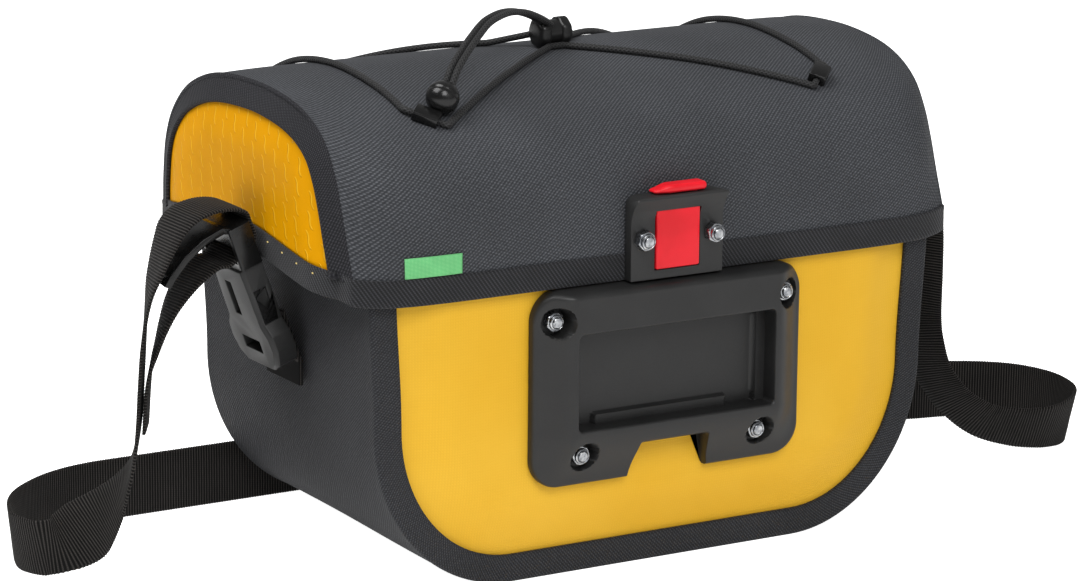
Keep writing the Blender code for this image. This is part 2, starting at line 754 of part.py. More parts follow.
def latch_channel_outline():
    """The side view of the space that the latch slides in."""
    floor_z = BRACKET_FOOT_Z + LATCH_FLOOR
    back_y = BRACKET_BACK_Y - BRACKET_BACK
    front_y = BRACKET_FACE_Y - LATCH_PROUD - CLEARANCE
    bridge_z = BRACKET_TOP_Z - LATCH_BRIDGE
    return (
        (back_y, floor_z),
        (front_y - CUT_REACH, floor_z),
        (front_y - CUT_REACH, bridge_z),
        (front_y, bridge_z),
        (front_y, VISOR_TOP_Z + CUT_REACH),
        (back_y, VISOR_TOP_Z + CUT_REACH),
    )


def build_bracket(finish, steel, group, cutters):
    bm = extruded(bracket_outline(), BRACKET_WIDTH)
    at_top = [edge for edge in bm.edges if min(vert.co.z for vert in edge.verts) > VISOR_TOP_Z - MERGE]
    rounded = [edge for edge in at_top if runs_along(edge, 1)]
    bmesh.ops.bevel(bm, geom=rounded, offset=VISOR_CORNER, segments=3, profile=0.5, affect="EDGES")
    bracket = add_object("latch_bracket", mesh_from_bmesh("latch_bracket", bm), finish, group)
    channel = extruded(latch_channel_outline(), LATCH_WIDTH + 2 * CLEARANCE)
    mesh = mesh_from_bmesh("channel_cutter", channel)
    boolean(bracket, as_cutter(add_object("channel_cutter", mesh, None, cutters)))
    nut = nut_mesh()
    for i, side in enumerate((-1, 1), 1):
        place = (side * BRACKET_NUT_SPREAD, BRACKET_FACE_Y - CLEARANCE, BRACKET_FOOT_Z + BRACKET_NUT_RISE)
        place_nut(f"bracket_nut_{i}", nut, place, steel, group)
    return bracket


def stem_outline():
    """The slider's side view: its face in the channel and its stem up behind the visor's bridge."""
    back_y = BRACKET_BACK_Y - BRACKET_BACK - CLEARANCE
    face_y = BRACKET_FACE_Y - LATCH_PROUD
    foot_z = BRACKET_FOOT_Z + LATCH_FLOOR + CLEARANCE
    top_z = VISOR_TOP_Z + THUMB_GAP + THUMB_THICKNESS / 2
    return ((back_y, foot_z), (face_y, foot_z), (face_y, top_z), (back_y, top_z))


def thumb_outline():
    """The side view of the thumb piece over the visor, rounded at its front."""
    back_y = BRACKET_BACK_Y - BRACKET_BACK - CLEARANCE
    front_y = BRACKET_FACE_Y - LATCH_PROUD - THUMB_REACH
    low_z = VISOR_TOP_Z + THUMB_GAP
    top_z = low_z + THUMB_THICKNESS
    return (
        (back_y, low_z),
        (front_y + THUMB_THICKNESS * 0.3, low_z),
        (front_y, low_z + THUMB_THICKNESS * 0.35),
        (front_y + THUMB_THICKNESS * 0.3, low_z + THUMB_THICKNESS * 0.8),
        (front_y + THUMB_THICKNESS, top_z),
        (back_y, top_z),
    )


def build_latch(finish, group, cutters):
    stem = extruded(stem_outline(), LATCH_WIDTH)
    latch = add_object("red_latch", mesh_from_bmesh("red_latch", stem), finish, group)
    thumb = mesh_from_bmesh("latch_thumb", extruded(thumb_outline(), THUMB_WIDTH))
    boolean(latch, as_cutter(add_object("latch_thumb", thumb, None, cutters)), "UNION")
    return latch


# Elastic cord

def hood_height(x, y):
    """The hood's outer height at a place on its top."""
    section = hood_profile(x)[3:-3]
    return float(np.interp(y, [p[0] for p in section], [p[1] for p in section]))


def hood_slope(x, y):
    step = 4 * MM
    return (hood_height(x, y + step) - hood_height(x, y - step)) / (2 * step)


def seat_height(x, y, lift):
    """A height whose distance to the sloping hood is the lift."""
    return hood_height(x, y) + lift * math.hypot(1, hood_slope(x, y))


def taut_run(start, end, steps):
    """Points of a cord pulled from start to end over the hood, without its last point."""
    lift = CORD_RADIUS + CORD_SEAT_GAP
    points = []
    for share in np.linspace(0, 1, steps, endpoint=False):
        x, y, z = (a + (b - a) * share for a, b in zip(start, end))
        points.append((x, y, max(z, seat_height(x, y, lift))))
    return points


def hood_frame(x, y, turn):
    """A frame on the hood with Z out of the cloth and X level-wise turned about it."""
    tilt = math.atan(hood_slope(x, y))
    frame = Matrix.Rotation(tilt, 4, "X") @ Matrix.Rotation(turn, 4, "Z")
    frame.translation = (x, y, hood_height(x, y))
    return frame


def clip_frame(side, y):
    """A clip's frame: the cord runs along its X, which points from the bag's end towards its middle."""
    turn = -side * CLIP_TURN if y > 0 else side * CLIP_TURN
    if side > 0:
        turn += math.pi
    return hood_frame(BOW_X + side * CLIP_SPREAD, y, turn)


def clip_points(side, y):
    """The cord's way through a clip, from its outer bend to its inner one."""
    half = CLIP_WIDTH / 2
    runs = (-half - CORD_BEND_RUN, -half - CORD_MOUTH_RUN, half + CORD_MOUTH_RUN, half + CORD_BEND_RUN)
    lift = CORD_RADIUS + CORD_SEAT_GAP
    points = [clip_frame(side, y) @ Vector((run, 0, lift)) for run in runs]
    for i in (0, 3):
        point = points[i]
        points[i] = Vector((point.x, point.y, max(point.z, seat_height(point.x, point.y, lift))))
    return [tuple(point) for point in points]


def lock_centre():
    return Vector((BOW_X, LOCK_Y, hood_height(BOW_X, LOCK_Y) + CLEARANCE + LOCK_RADIUS))


def lock_pass(front):
    """The cord's two passes: one under the lock's front, one through its rear."""
    centre = lock_centre()
    y = centre.y + (FRONT_PASS_Y if front else REAR_PASS_Y)
    seat = seat_height(centre.x, y, CORD_RADIUS + CORD_SEAT_GAP)
    z = seat if front else centre.z - REAR_PASS_DROP
    return [(centre.x - PASS_HALF_LENGTH, y, z), (centre.x + PASS_HALF_LENGTH, y, z)]


def bungee_route():
    """The cord's closed bow: lock, front clip, far clip, lock again, and the same on the other side."""
    front_left, front_right = lock_pass(True)
    rear_left, rear_right = lock_pass(False)
    route = []
    for side, start, end in ((-1, front_left, rear_left), (1, rear_right, front_right)):
        near = clip_points(side, CLIP_FRONT_Y if side < 0 else CLIP_REAR_Y)[::-1]
        far = clip_points(side, CLIP_REAR_Y if side < 0 else CLIP_FRONT_Y)
        route += taut_run(start, near[0], RUN_STEPS)
        route += near[:3]
        route += taut_run(near[3], far[0], RUN_STEPS)
        route += far
        route += taut_run(far[3], end, RUN_STEPS)[1:]
        route += [end]
    return route


def ball_centre():
    frame = clip_frame(-1, CLIP_FRONT_Y)
    place = frame @ Vector((BALL_ALONG, BALL_BEHIND, 0))
    return Vector((place.x, place.y, seat_height(place.x, place.y, BALL_RADIUS + CLEARANCE)))


LOOP_ROWS = (
    # way along, share of the rise
    (0.000, 0.00),
    (0.030, 0.11),
    (0.063, 0.24),
    (0.109, 0.46),
    (0.200, 0.69),
    (0.292, 0.865),
    (0.394, 1.00),
    (0.527, 0.983),
    (0.643, 0.865),
    (0.769, 0.64),
    (0.899, 0.32),
    (1.000, 0.00),
)


def toggle_strand():
    """The middle line of the double cord from the ball over its arch to the lock."""
    start = ball_centre()
    end = lock_centre() + Vector((0, 0, LOCK_RADIUS * 0.3))
    rise = Vector((0, 0, LOOP_RISE))
    return [start.lerp(end, along) + rise * share for along, share in LOOP_ROWS]


def toggle_aside():
    """The level direction in which the two cords lie beside each other."""
    along = lock_centre() - ball_centre()
    return Vector((along.y, -along.x, 0)).normalized()


def toggle_route():
    """A hairpin of cord: from the lock over its arch into the ball and back beside itself."""
    strand = toggle_strand()
    aside = toggle_aside()
    along = (strand[1] - strand[0]).normalized()
    turn = []
    for angle in np.linspace(math.pi / 2, -math.pi / 2, 7):
        offset = aside * math.sin(angle) - along * math.cos(angle)
        turn.append(strand[0] + offset * LOOP_HALF_SPACING)
    near = [point + aside * LOOP_HALF_SPACING for point in strand[:0:-1]]
    far = [point - aside * LOOP_HALF_SPACING for point in strand[1:]]
    return [tuple(point) for point in near + turn + far]


def loop_bore(name, inner, outer, cutters):
    """A slot for both cords, with round ends, from an inner point outwards."""
    wide = CORD_RADIUS + CORD_BORE_GAP
    length = (outer - inner).length
    size = (2 * (LOOP_HALF_SPACING + wide), 2 * wide, length)
    mesh = box_mesh(name, size, (0, 0, length / 2), bevel=wide * 0.98, bevel_axis=2, segments=3)
    cutter = as_cutter(add_object(name, mesh, None, cutters))
    along = (outer - inner).normalized()
    aside = toggle_aside()
    frame = Matrix((aside, along.cross(aside), along)).transposed().to_4x4()
    frame.translation = inner
    cutter.matrix_world = frame
    return cutter


def build_cords(cord, plastic, group, cutters):
    route = bungee_route()
    tube("bungee_cord", route, CORD_RADIUS, cord, group, cyclic=True)
    tube("toggle_loop", toggle_route(), CORD_RADIUS, cord, group)
    wide = CORD_RADIUS + CORD_BORE_GAP
    bore = as_cutter(curve_to_mesh(tube("cord_bore", route, wide, None, cutters, cyclic=True), cutters))
    number = 0
    for side in (-1, 1):
        for y in (CLIP_FRONT_Y, CLIP_REAR_Y):
            number += 1
            build_clip(f"cord_anchor_{number}", side, y, plastic, group, bore)
    build_lock(plastic, group, bore, cutters)
    build_hook(plastic, group, bore)
    build_ball(plastic, group, cutters)


def build_clip(name, side, y, finish, group, bore):
    """A small bridge over the cord, its two feet on the hood."""
    foot = 2 * CLEARANCE
    height = 2 * CORD_RADIUS + CORD_SEAT_GAP + CORD_BORE_GAP + CLIP_ROOF - foot
    size = (CLIP_WIDTH, CLIP_LENGTH, height)
    mesh = box_mesh(name, size, (0, 0, foot + height / 2), bevel=CLIP_CORNER, bevel_axis=0)
    clip = add_object(name, mesh, finish, group)
    clip.matrix_world = clip_frame(side, y)
    boolean(clip, bore)
    return clip


def bead_mesh(name, radius, length, chamfer):
    """A round bead along +Z with chamfered ends."""
    half = length / 2
    inner = radius - chamfer
    rings = (
        (inner, inner, -half),
        (radius, radius, chamfer - half),
        (radius, radius, half - chamfer),
        (inner, inner, half),
    )
    return ring_stack(name, rings, 16)


def build_lock(finish, group, bore, cutters):
    mesh = bead_mesh("cord_lock", LOCK_RADIUS, LOCK_LENGTH, LOCK_CHAMFER)
    lock = add_object("cord_lock", mesh, finish, group)
    lock.location = lock_centre()
    lock.rotation_euler = (0, math.pi / 2, 0)
    boolean(lock, bore)
    strand = toggle_strand()
    inwards = (strand[-1] - strand[-2]).normalized()
    boolean(lock, loop_bore("lock_slot", strand[-1] + inwards * CORD_BORE_GAP, strand[-2], cutters))
    return lock


def build_hook(finish, group, bore):
    """The small bead on the cord's rear run, beside the lock."""
    mesh = bead_mesh("cord_hook", HOOK_RADIUS, HOOK_LENGTH, HOOK_CHAMFER)
    hook = add_object("cord_hook", mesh, finish, group)
    rear_run = [point for point in bungee_route() if point[1] > LOCK_Y and point[0] > BOW_X]
    before = max((point for point in rear_run if point[0] < HOOK_X), key=lambda point: point[0])
    after = min((point for point in rear_run if point[0] > HOOK_X), key=lambda point: point[0])
    share = (HOOK_X - before[0]) / (after[0] - before[0])
    along = Vector(after) - Vector(before)
    hook.location = Vector(before) + along * share
    hook.rotation_euler = along.to_track_quat("Z", "Y").to_euler()
    boolean(hook, bore)
    return hook


def build_ball(finish, group, cutters):
    bm = bmesh.new()
    bmesh.ops.create_uvsphere(bm, u_segments=16, v_segments=10, radius=BALL_RADIUS)
    ball = add_object("cord_toggle", mesh_from_bmesh("cord_toggle", bm), finish, group)
    ball.location = ball_centre()
    strand = toggle_strand()
    along = (strand[1] - strand[0]).normalized()
    behind = strand[0] - along * (LOOP_HALF_SPACING + CORD_RADIUS + CORD_BORE_GAP)
    boolean(ball, loop_bore("ball_slot", behind, strand[0] + along * 2 * BALL_RADIUS, cutters))
    return ball


# Buckles

def buckle_wall_x():
    """How far out the gusset reaches beside the buckle's foot."""
    depth_share = (BUCKLE_Y - ANCHOR_WIDTH / 2 + BODY_DEPTH / 2) / BODY_DEPTH
    return body_half_width(BUCKLE_FOOT_Z + ANCHOR_FOOT, depth_share)


def buckle_frame(side):
    """A frame whose Z runs up the buckle, X faces outwards and Y goes across; its origin is at the foot's back."""
    lean = BUCKLE_LEAN
    up = Vector((side * math.sin(lean), 0, math.cos(lean)))
    out = Vector((side * math.cos(lean), 0, -math.sin(lean)))
    across = up.cross(out)
    frame = Matrix((out, across, up)).transposed().to_4x4()
    foot_x = buckle_wall_x() + BUCKLE_STANDOFF
    frame.translation = (side * foot_x, BUCKLE_Y, BUCKLE_FOOT_Z)
    return frame


SOCKET_OUTLINE = (
    # share of the width, share of the length
    (0.32, 0.00),
    (0.50, 0.07),
    (0.60, 0.22),
    (0.58, 0.36),
    (0.47, 0.46),
    (0.46, 0.72),
    (0.43, 1.00),
)


def plate_mesh(name, outline, thickness, chamfer):
    """A flat piece from x = 0 outwards, its outline in (y, z), its outer rim chamfered."""
    bm = bmesh.new()
    base = [bm.verts.new((0, y, z)) for y, z in outline]
    face = bm.faces.new(base)
    moved = bmesh.ops.extrude_face_region(bm, geom=[face])
    verts = [item for item in moved["geom"] if isinstance(item, bmesh.types.BMVert)]
    bmesh.ops.translate(bm, vec=(thickness, 0, 0), verts=verts)
    bm.normal_update()
    rim = [edge for edge in bm.edges if all(vert in verts for vert in edge.verts)]
    bmesh.ops.bevel(bm, geom=rim, offset=chamfer, segments=1, affect="EDGES")
    return mesh_from_bmesh(name, bm)


def mirrored_outline(rows, width, length):
    """A closed outline from the rows of its right half."""
    right = [(share * width, height * length) for share, height in rows]
    return right + [(-y, z) for y, z in right[::-1]]


def buckle_cut(obj, name, size, centre, side, cutters):
    cutter = cutter_box(name, size, centre, cutters)
    cutter.matrix_world = buckle_frame(side)
    boolean(obj, cutter)


def build_socket(side, word, plastic, group, cutters):
    name = f"buckle_socket_{word}"
    outline = mirrored_outline(SOCKET_OUTLINE, BUCKLE_WIDTH, SOCKET_LENGTH)
    mesh = plate_mesh(name, outline, BUCKLE_THICKNESS, SOCKET_CHAMFER)
    socket = add_object(name, mesh, plastic, group)
    socket.matrix_world = buckle_frame(side)
    size = (CUT_REACH, LONG_WINDOW_WIDTH, LONG_WINDOW_HEIGHT)
    centre = (0, -LONG_WINDOW_ASIDE, LONG_WINDOW_Z)
    buckle_cut(socket, f"long_window_{word}", size, centre, side, cutters)
    size = (CUT_REACH, LOW_WINDOW_WIDTH, LOW_WINDOW_HEIGHT)
    buckle_cut(socket, f"low_window_{word}", size, (0, 0, LOW_WINDOW_Z), side, cutters)
    for turn in (-1, 1):
        size = (SIDE_GRIP_WIDTH, 2 * SIDE_GRIP_DEPTH, SIDE_GRIP_LENGTH)
        centre = (BUCKLE_THICKNESS / 2, turn * BUCKLE_WIDTH / 2, SIDE_GRIP_Z)
        buckle_cut(socket, f"grip_{word}_{turn}", size, centre, side, cutters)
    return socket


def build_clip_half(side, word, plastic, group, cutters):
    name = f"buckle_clip_{word}"
    base_z = SOCKET_LENGTH + CLEARANCE
    size = (BUCKLE_THICKNESS, BUCKLE_WIDTH, CLIP_HALF_LENGTH)
    centre = (BUCKLE_THICKNESS / 2, 0, base_z + CLIP_HALF_LENGTH / 2)
    mesh = box_mesh(name, size, centre, bevel=CLIP_HALF_CORNER, bevel_axis=2)
    clip = add_object(name, mesh, plastic, group)
    clip.matrix_world = buckle_frame(side)
    size = (CUT_REACH, WEB_WIDTH + 2 * CLEARANCE, SLOT_HEIGHT)
    centre = (0, 0, base_z + SLOT_RISE + SLOT_HEIGHT / 2)
    buckle_cut(clip, f"web_slot_{word}", size, centre, side, cutters)
    if side < 0:
        boolean(clip, as_cutter(tongue(cutters)), "UNION")
    return clip


def build_buckle(side, plastic, web, group, cutters):
    word = "left" if side < 0 else "right"
    build_socket(side, word, plastic, group, cutters)
    build_clip_half(side, word, plastic, group, cutters)
    build_buckle_anchor(side, word, buckle_frame(side), web, group)


def build_buckle_anchor(side, word, frame, web, group):
    """The tab that holds the socket: flat on the gusset, then up along the socket's leaning back."""
    half = ANCHOR_WIDTH / 2
    wall_x = buckle_wall_x() + CLEARANCE + ANCHOR_THICKNESS
    foot = frame @ Vector((-CLEARANCE, 0, 0))
    tip = frame @ Vector((-CLEARANCE, 0, ANCHOR_HEIGHT))
    section = (
        (side * wall_x, BUCKLE_FOOT_Z - ANCHOR_FOOT),
        (side * wall_x, BUCKLE_FOOT_Z - ANCHOR_FOOT / 3),
        (foot.x, foot.z),
        (tip.x, tip.z),
    )
    rows = [[(x, BUCKLE_Y + y, z) for x, z in section] for y in (-half, half)]
    name = f"buckle_anchor_{word}"
    return shell(name, [rows], (0, BUCKLE_Y, BUCKLE_FOOT_Z), ANCHOR_THICKNESS, web, group)


# Webbing

def ribbon(name, stations, width, thickness, finish, group):
    """A flat band through stations of a place and the direction of its width."""
    bm = bmesh.new()
    rings = []
    for i, (place, across) in enumerate(stations):
        before = stations[max(i - 1, 0)][0]
        after = stations[min(i + 1, len(stations) - 1)][0]
        along = (after - before).normalized()
        across = (across - across.dot(along) * along).normalized() * width / 2
        through = along.cross(across).normalized() * thickness / 2
        corners = (-across - through, across - through, across + through, through - across)
        rings.append([bm.verts.new(place + corner) for corner in corners])
    for low, high in zip(rings, rings[1:]):
        for i in range(4):
            j = (i + 1) % 4
            bm.faces.new((low[i], low[j], high[j], high[i]))
    bm.faces.new(rings[0][::-1])
    bm.faces.new(rings[-1])
    return add_object(name, mesh_from_bmesh(name, bm), finish, group)


def buckle_pass(side):
    """The webbing's way through a buckle: in by the slot, up behind the bar and over its top."""
    frame = buckle_frame(side)
    slot = SOCKET_LENGTH + CLEARANCE + SLOT_RISE
    top = SOCKET_LENGTH + CLIP_HALF_LENGTH
    behind = -WEB_THICKNESS / 2 - 2 * CLEARANCE
    front = BUCKLE_THICKNESS
    way = (
        (front + 1.6 * WEB_THICKNESS, slot + 0.05 * SLOT_HEIGHT),
        (front - WEB_THICKNESS, slot + 0.25 * SLOT_HEIGHT),
        (front / 6, slot + 0.4 * SLOT_HEIGHT),
        (behind, slot + 0.9 * SLOT_HEIGHT),
        (behind, top - WEB_THICKNESS),
        (behind / 2, top + 2 * WEB_THICKNESS),
    )
    return [frame @ Vector((out, 0, up)) for out, up in way]


STRAP_COLUMNS = ("out", "back", "up", "heading", "lift")
TAIL_ROWS = (
    (0.618, 0.00, 0.433, 60, 0),
    (0.608, 0.00, 0.533, 60, 0),
    (0.595, 0.00, 0.592, 61, 0),
    (0.571, 0.00, 0.644, 64, 0),
    (0.539, 0.00, 0.707, 68, 0),
    (0.497, 0.00, 0.769, 74, 0),
    (0.432, 0.00, 0.830, 82, 0),
    (0.358, 0.00, 0.872, 88, 0),
)
LEFT_ROWS = (
    (0.334, 0.00, 1.033, 90, 0),
    (0.430, 0.00, 1.019, 90, 0),
    (0.490, 0.00, 0.987, 88, 0),
    (0.528, 0.00, 0.938, 82, 0),
    (0.566, 0.00, 0.872, 75, 0),
    (0.600, 0.00, 0.797, 67, 0),
    (0.622, 0.00, 0.680, 61, 0),
    (0.635, 0.00, 0.560, 60, 0),
    (0.643, 0.00, 0.470, 60, 0),
    (0.660, 0.00, 0.380, 61, 4),
    (0.683, 0.02, 0.303, 62, 14),
    (0.723, 0.08, 0.224, 66, 38),
    (0.790, 0.156, 0.152, 68, 68),
    (0.882, 0.219, 0.101, 66, 98),
    (0.968, 0.262, 0.087, 60, 108),
    (1.012, 0.394, 0.087, 38, 104),
    (0.990, 0.531, 0.087, 10, 98),
    (0.922, 0.694, 0.087, 0, 93),
    (0.810, 0.831, 0.087, 0, 90),
    (0.667, 0.937, 0.087, 0, 90),
    (0.494, 0.994, 0.087, 0, 90),
    (0.270, 1.00, 0.087, 0, 90),
    (0.000, 1.00, 0.087, 0, 90),
    (-0.340, 1.00, 0.087, 0, 90),
)
RIGHT_ROWS = (
    (-0.340, 1.00, 0.087, 0, 90),
    (0.000, 1.00, 0.087, 0, 90),
    (0.269, 0.931, 0.087, 0, 90),
    (0.524, 0.806, 0.087, 0, 90),
    (0.698, 0.694, 0.087, 0, 90),
    (0.851, 0.612, 0.087, 0, 90),
    (1.031, 0.556, 0.087, 0, 90),
    (1.175, 0.445, 0.087, 0, 90),
    (1.271, 0.300, 0.087, 0, 90),
    (1.307, 0.105, 0.087, -5, 88),
    (1.285, -0.058, 0.087, -30, 85),
    (1.235, -0.180, 0.086, -55, 79),
    (1.150, -0.262, 0.082, -80, 70),
    (1.045, -0.278, 0.077, -92, 60),
    (0.920, -0.225, 0.084, -95, 52),
    (0.790, -0.138, 0.108, -95, 44),
    (0.678, -0.062, 0.173, -92, 34),
    (0.591, -0.012, 0.267, -85, 20),
    (0.545, 0.012, 0.361, -76, 8),
    (0.525, 0.031, 0.447, -68, 0),
    (0.522, 0.031, 0.577, -66, 0),
    (0.519, 0.031, 0.700, -66, 0),
    (0.504, 0.020, 0.808, -72, 0),
    (0.473, 0.006, 0.902, -80, 0),
    (0.422, 0.00, 0.974, -86, 0),
    (0.366, 0.00, 1.017, -90, 0),
    (0.320, 0.00, 1.034, -90, 0),
)
TONGUE_ROWS = (
    (0.300, 0.00, 0.972, 90, 0),
    (0.345, 0.00, 0.978, 90, 0),
    (0.422, 0.00, 0.952, 88, 0),
    (0.492, 0.00, 0.904, 82, 0),
    (0.531, 0.00, 0.855, 75, 0),
    (0.543, 0.00, 0.830, 72, 0),
)


def strap_stations(side, rows):
    """Places and width directions from rows of a run on one side of the bag."""
    rear_y = BODY_DEPTH / 2 + REAR_RUN_GAP
    clip_top = (buckle_frame(side) @ Vector((0, 0, SOCKET_LENGTH + CLIP_HALF_LENGTH))).z
    stations = []
    for row in rows:
        at = dict(zip(STRAP_COLUMNS, row))
        heading, lift = math.radians(at["heading"]), math.radians(at["lift"])
        level = math.cos(lift)
        across = Vector((math.cos(heading) * level, math.sin(heading) * level, math.sin(lift)))
        x = side * (buckle_wall_x() + at["out"] * LOOP_REACH)
        y = BUCKLE_Y + at["back"] * (rear_y - BUCKLE_Y)
        lowest = WEB_WIDTH / 2 * abs(across.z) + WEB_THICKNESS / 2 * abs(level)
        stations.append((Vector((x, y, max(at["up"] * clip_top, lowest))), across))
    return stations


def eased(stations):
    """More stations on a smooth curve through the given ones, a few millimetres apart."""
    places = [np.array([*place, *across]) for place, across in stations]
    ends = [2 * places[0] - places[1]] + places + [2 * places[-1] - places[-2]]
    result = []
    for a, b, c, d in zip(ends, ends[1:], ends[2:], ends[3:]):
        steps = max(1, round(float(np.linalg.norm((c - b)[:3])) / WEB_STEP))
        for t in np.arange(steps) / steps:
            curve = 2 * b + (c - a) * t + (2 * a - 5 * b + 4 * c - d) * t**2
            point = (curve + (3 * b - a - 3 * c + d) * t**3) / 2
            result.append((Vector(point[:3]), Vector(point[3:]).normalized()))
    return result + [stations[-1]]


def build_strap(finish, group):
    """One length of webbing: tail, left buckle, floor, behind the bag, floor, right buckle."""
    left_pass = [(place, Vector((0, 1, 0))) for place in buckle_pass(-1)]
    right_pass = [(place, Vector((0, -1, 0))) for place in buckle_pass(1)]
    stations = strap_stations(-1, TAIL_ROWS) + left_pass + strap_stations(-1, LEFT_ROWS)
    stations += strap_stations(1, RIGHT_ROWS) + right_pass[::-1]
    return ribbon("shoulder_strap", eased(stations), WEB_WIDTH, WEB_THICKNESS, finish, group)


def tongue(cutters):
    """The left adjuster's tongue, which curves out and down under the webbing's arch."""
    stations = eased(strap_stations(-1, TONGUE_ROWS))
    return ribbon("adjuster_tongue", stations, TONGUE_WIDTH, TONGUE_THICKNESS, None, cutters)


def build_scene():
    clear_scene()
    bag = collection("handlebar_bag")
    cutters = collection("cutters")
    grey = material("coated_cloth", (0.045, 0.048, 0.052), 0.8)
    yellow = material("yellow_cloth", (0.80, 0.42, 0.02), 0.55)
    amber = material("embossed_cloth", (0.78, 0.36, 0.01), 0.5)
    tape = material("tape", (0.012, 0.012, 0.013), 0.85)
    green = material("label", (0.05, 0.42, 0.12), 0.6)
    plastic = material("black_plastic", (0.02, 0.02, 0.02), 0.42)
    steel = material("zinc", (0.75, 0.76, 0.78), 0.28, 1.0)
    red = material("red_plastic", (0.75, 0.02, 0.03), 0.35)
    cord = material("elastic", (0.015, 0.015, 0.015), 0.8)
    web = material("webbing", (0.015, 0.014, 0.013), 0.85)
    build_gusset(grey, bag)
    build_panel("front_panel", -1, FRONT_BULGE, yellow, bag)
    build_panel("rear_panel", 1, REAR_BULGE, yellow, bag)
    build_hood(grey, bag)
    build_lid_end("lid_end_left", -1, amber, bag)
    build_lid_end("lid_end_right", 1, amber, bag)
    build_tape(tape, bag)
    build_hinge(grey, bag)
    build_label(green, bag)
    build_plate(plastic, steel, bag, cutters)
    build_bracket(plastic, steel, bag, cutters)
    build_latch(red, bag, cutters)
    build_cords(cord, plastic, bag, cutters)
    for side in (-1, 1):
        build_buckle(side, plastic, web, bag, cutters)
    build_strap(web, bag)


build_scene()
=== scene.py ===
"""Looks of a handlebar bag: grey coated cloth, yellow panels, moulded fittings, elastic cord and webbing.

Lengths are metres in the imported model's frame: X along the bag, Y away from the mounting plate, Z up.
Soft pieces, the plate, the nuts, the slider, the ball and the lock are surfaces worked out on grids. The other
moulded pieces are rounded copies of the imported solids.
"""

from __future__ import annotations

import logging
import math
from dataclasses import dataclass, field
from enum import Enum

import bmesh
import bpy
import numpy as np
from mathutils import Matrix, Vector


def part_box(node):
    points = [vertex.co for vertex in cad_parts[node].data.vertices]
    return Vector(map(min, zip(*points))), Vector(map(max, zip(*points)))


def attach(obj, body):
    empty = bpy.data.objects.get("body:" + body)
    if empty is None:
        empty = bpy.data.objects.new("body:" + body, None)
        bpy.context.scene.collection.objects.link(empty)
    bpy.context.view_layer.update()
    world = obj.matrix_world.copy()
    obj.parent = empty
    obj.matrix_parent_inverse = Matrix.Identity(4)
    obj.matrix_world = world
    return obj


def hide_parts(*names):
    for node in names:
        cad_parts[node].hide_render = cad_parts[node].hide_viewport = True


MM = 0.001
LOG = logging.getLogger("handlebar_bag")
SHARP = {"copy": math.radians(28), "moulding": math.radians(50), "nut": math.radians(32)}
Colour = tuple[float, float, float]


class Layout(Enum):
    """Where a material's pattern lies: on the piece's own unrolled map, or in the model's space."""

    CLOTH = "UV"
    SOLID = "Object"


class Ride(Enum):
    """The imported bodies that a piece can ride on."""

    BAG = "bag"
    LATCH = "latch"


# Materials


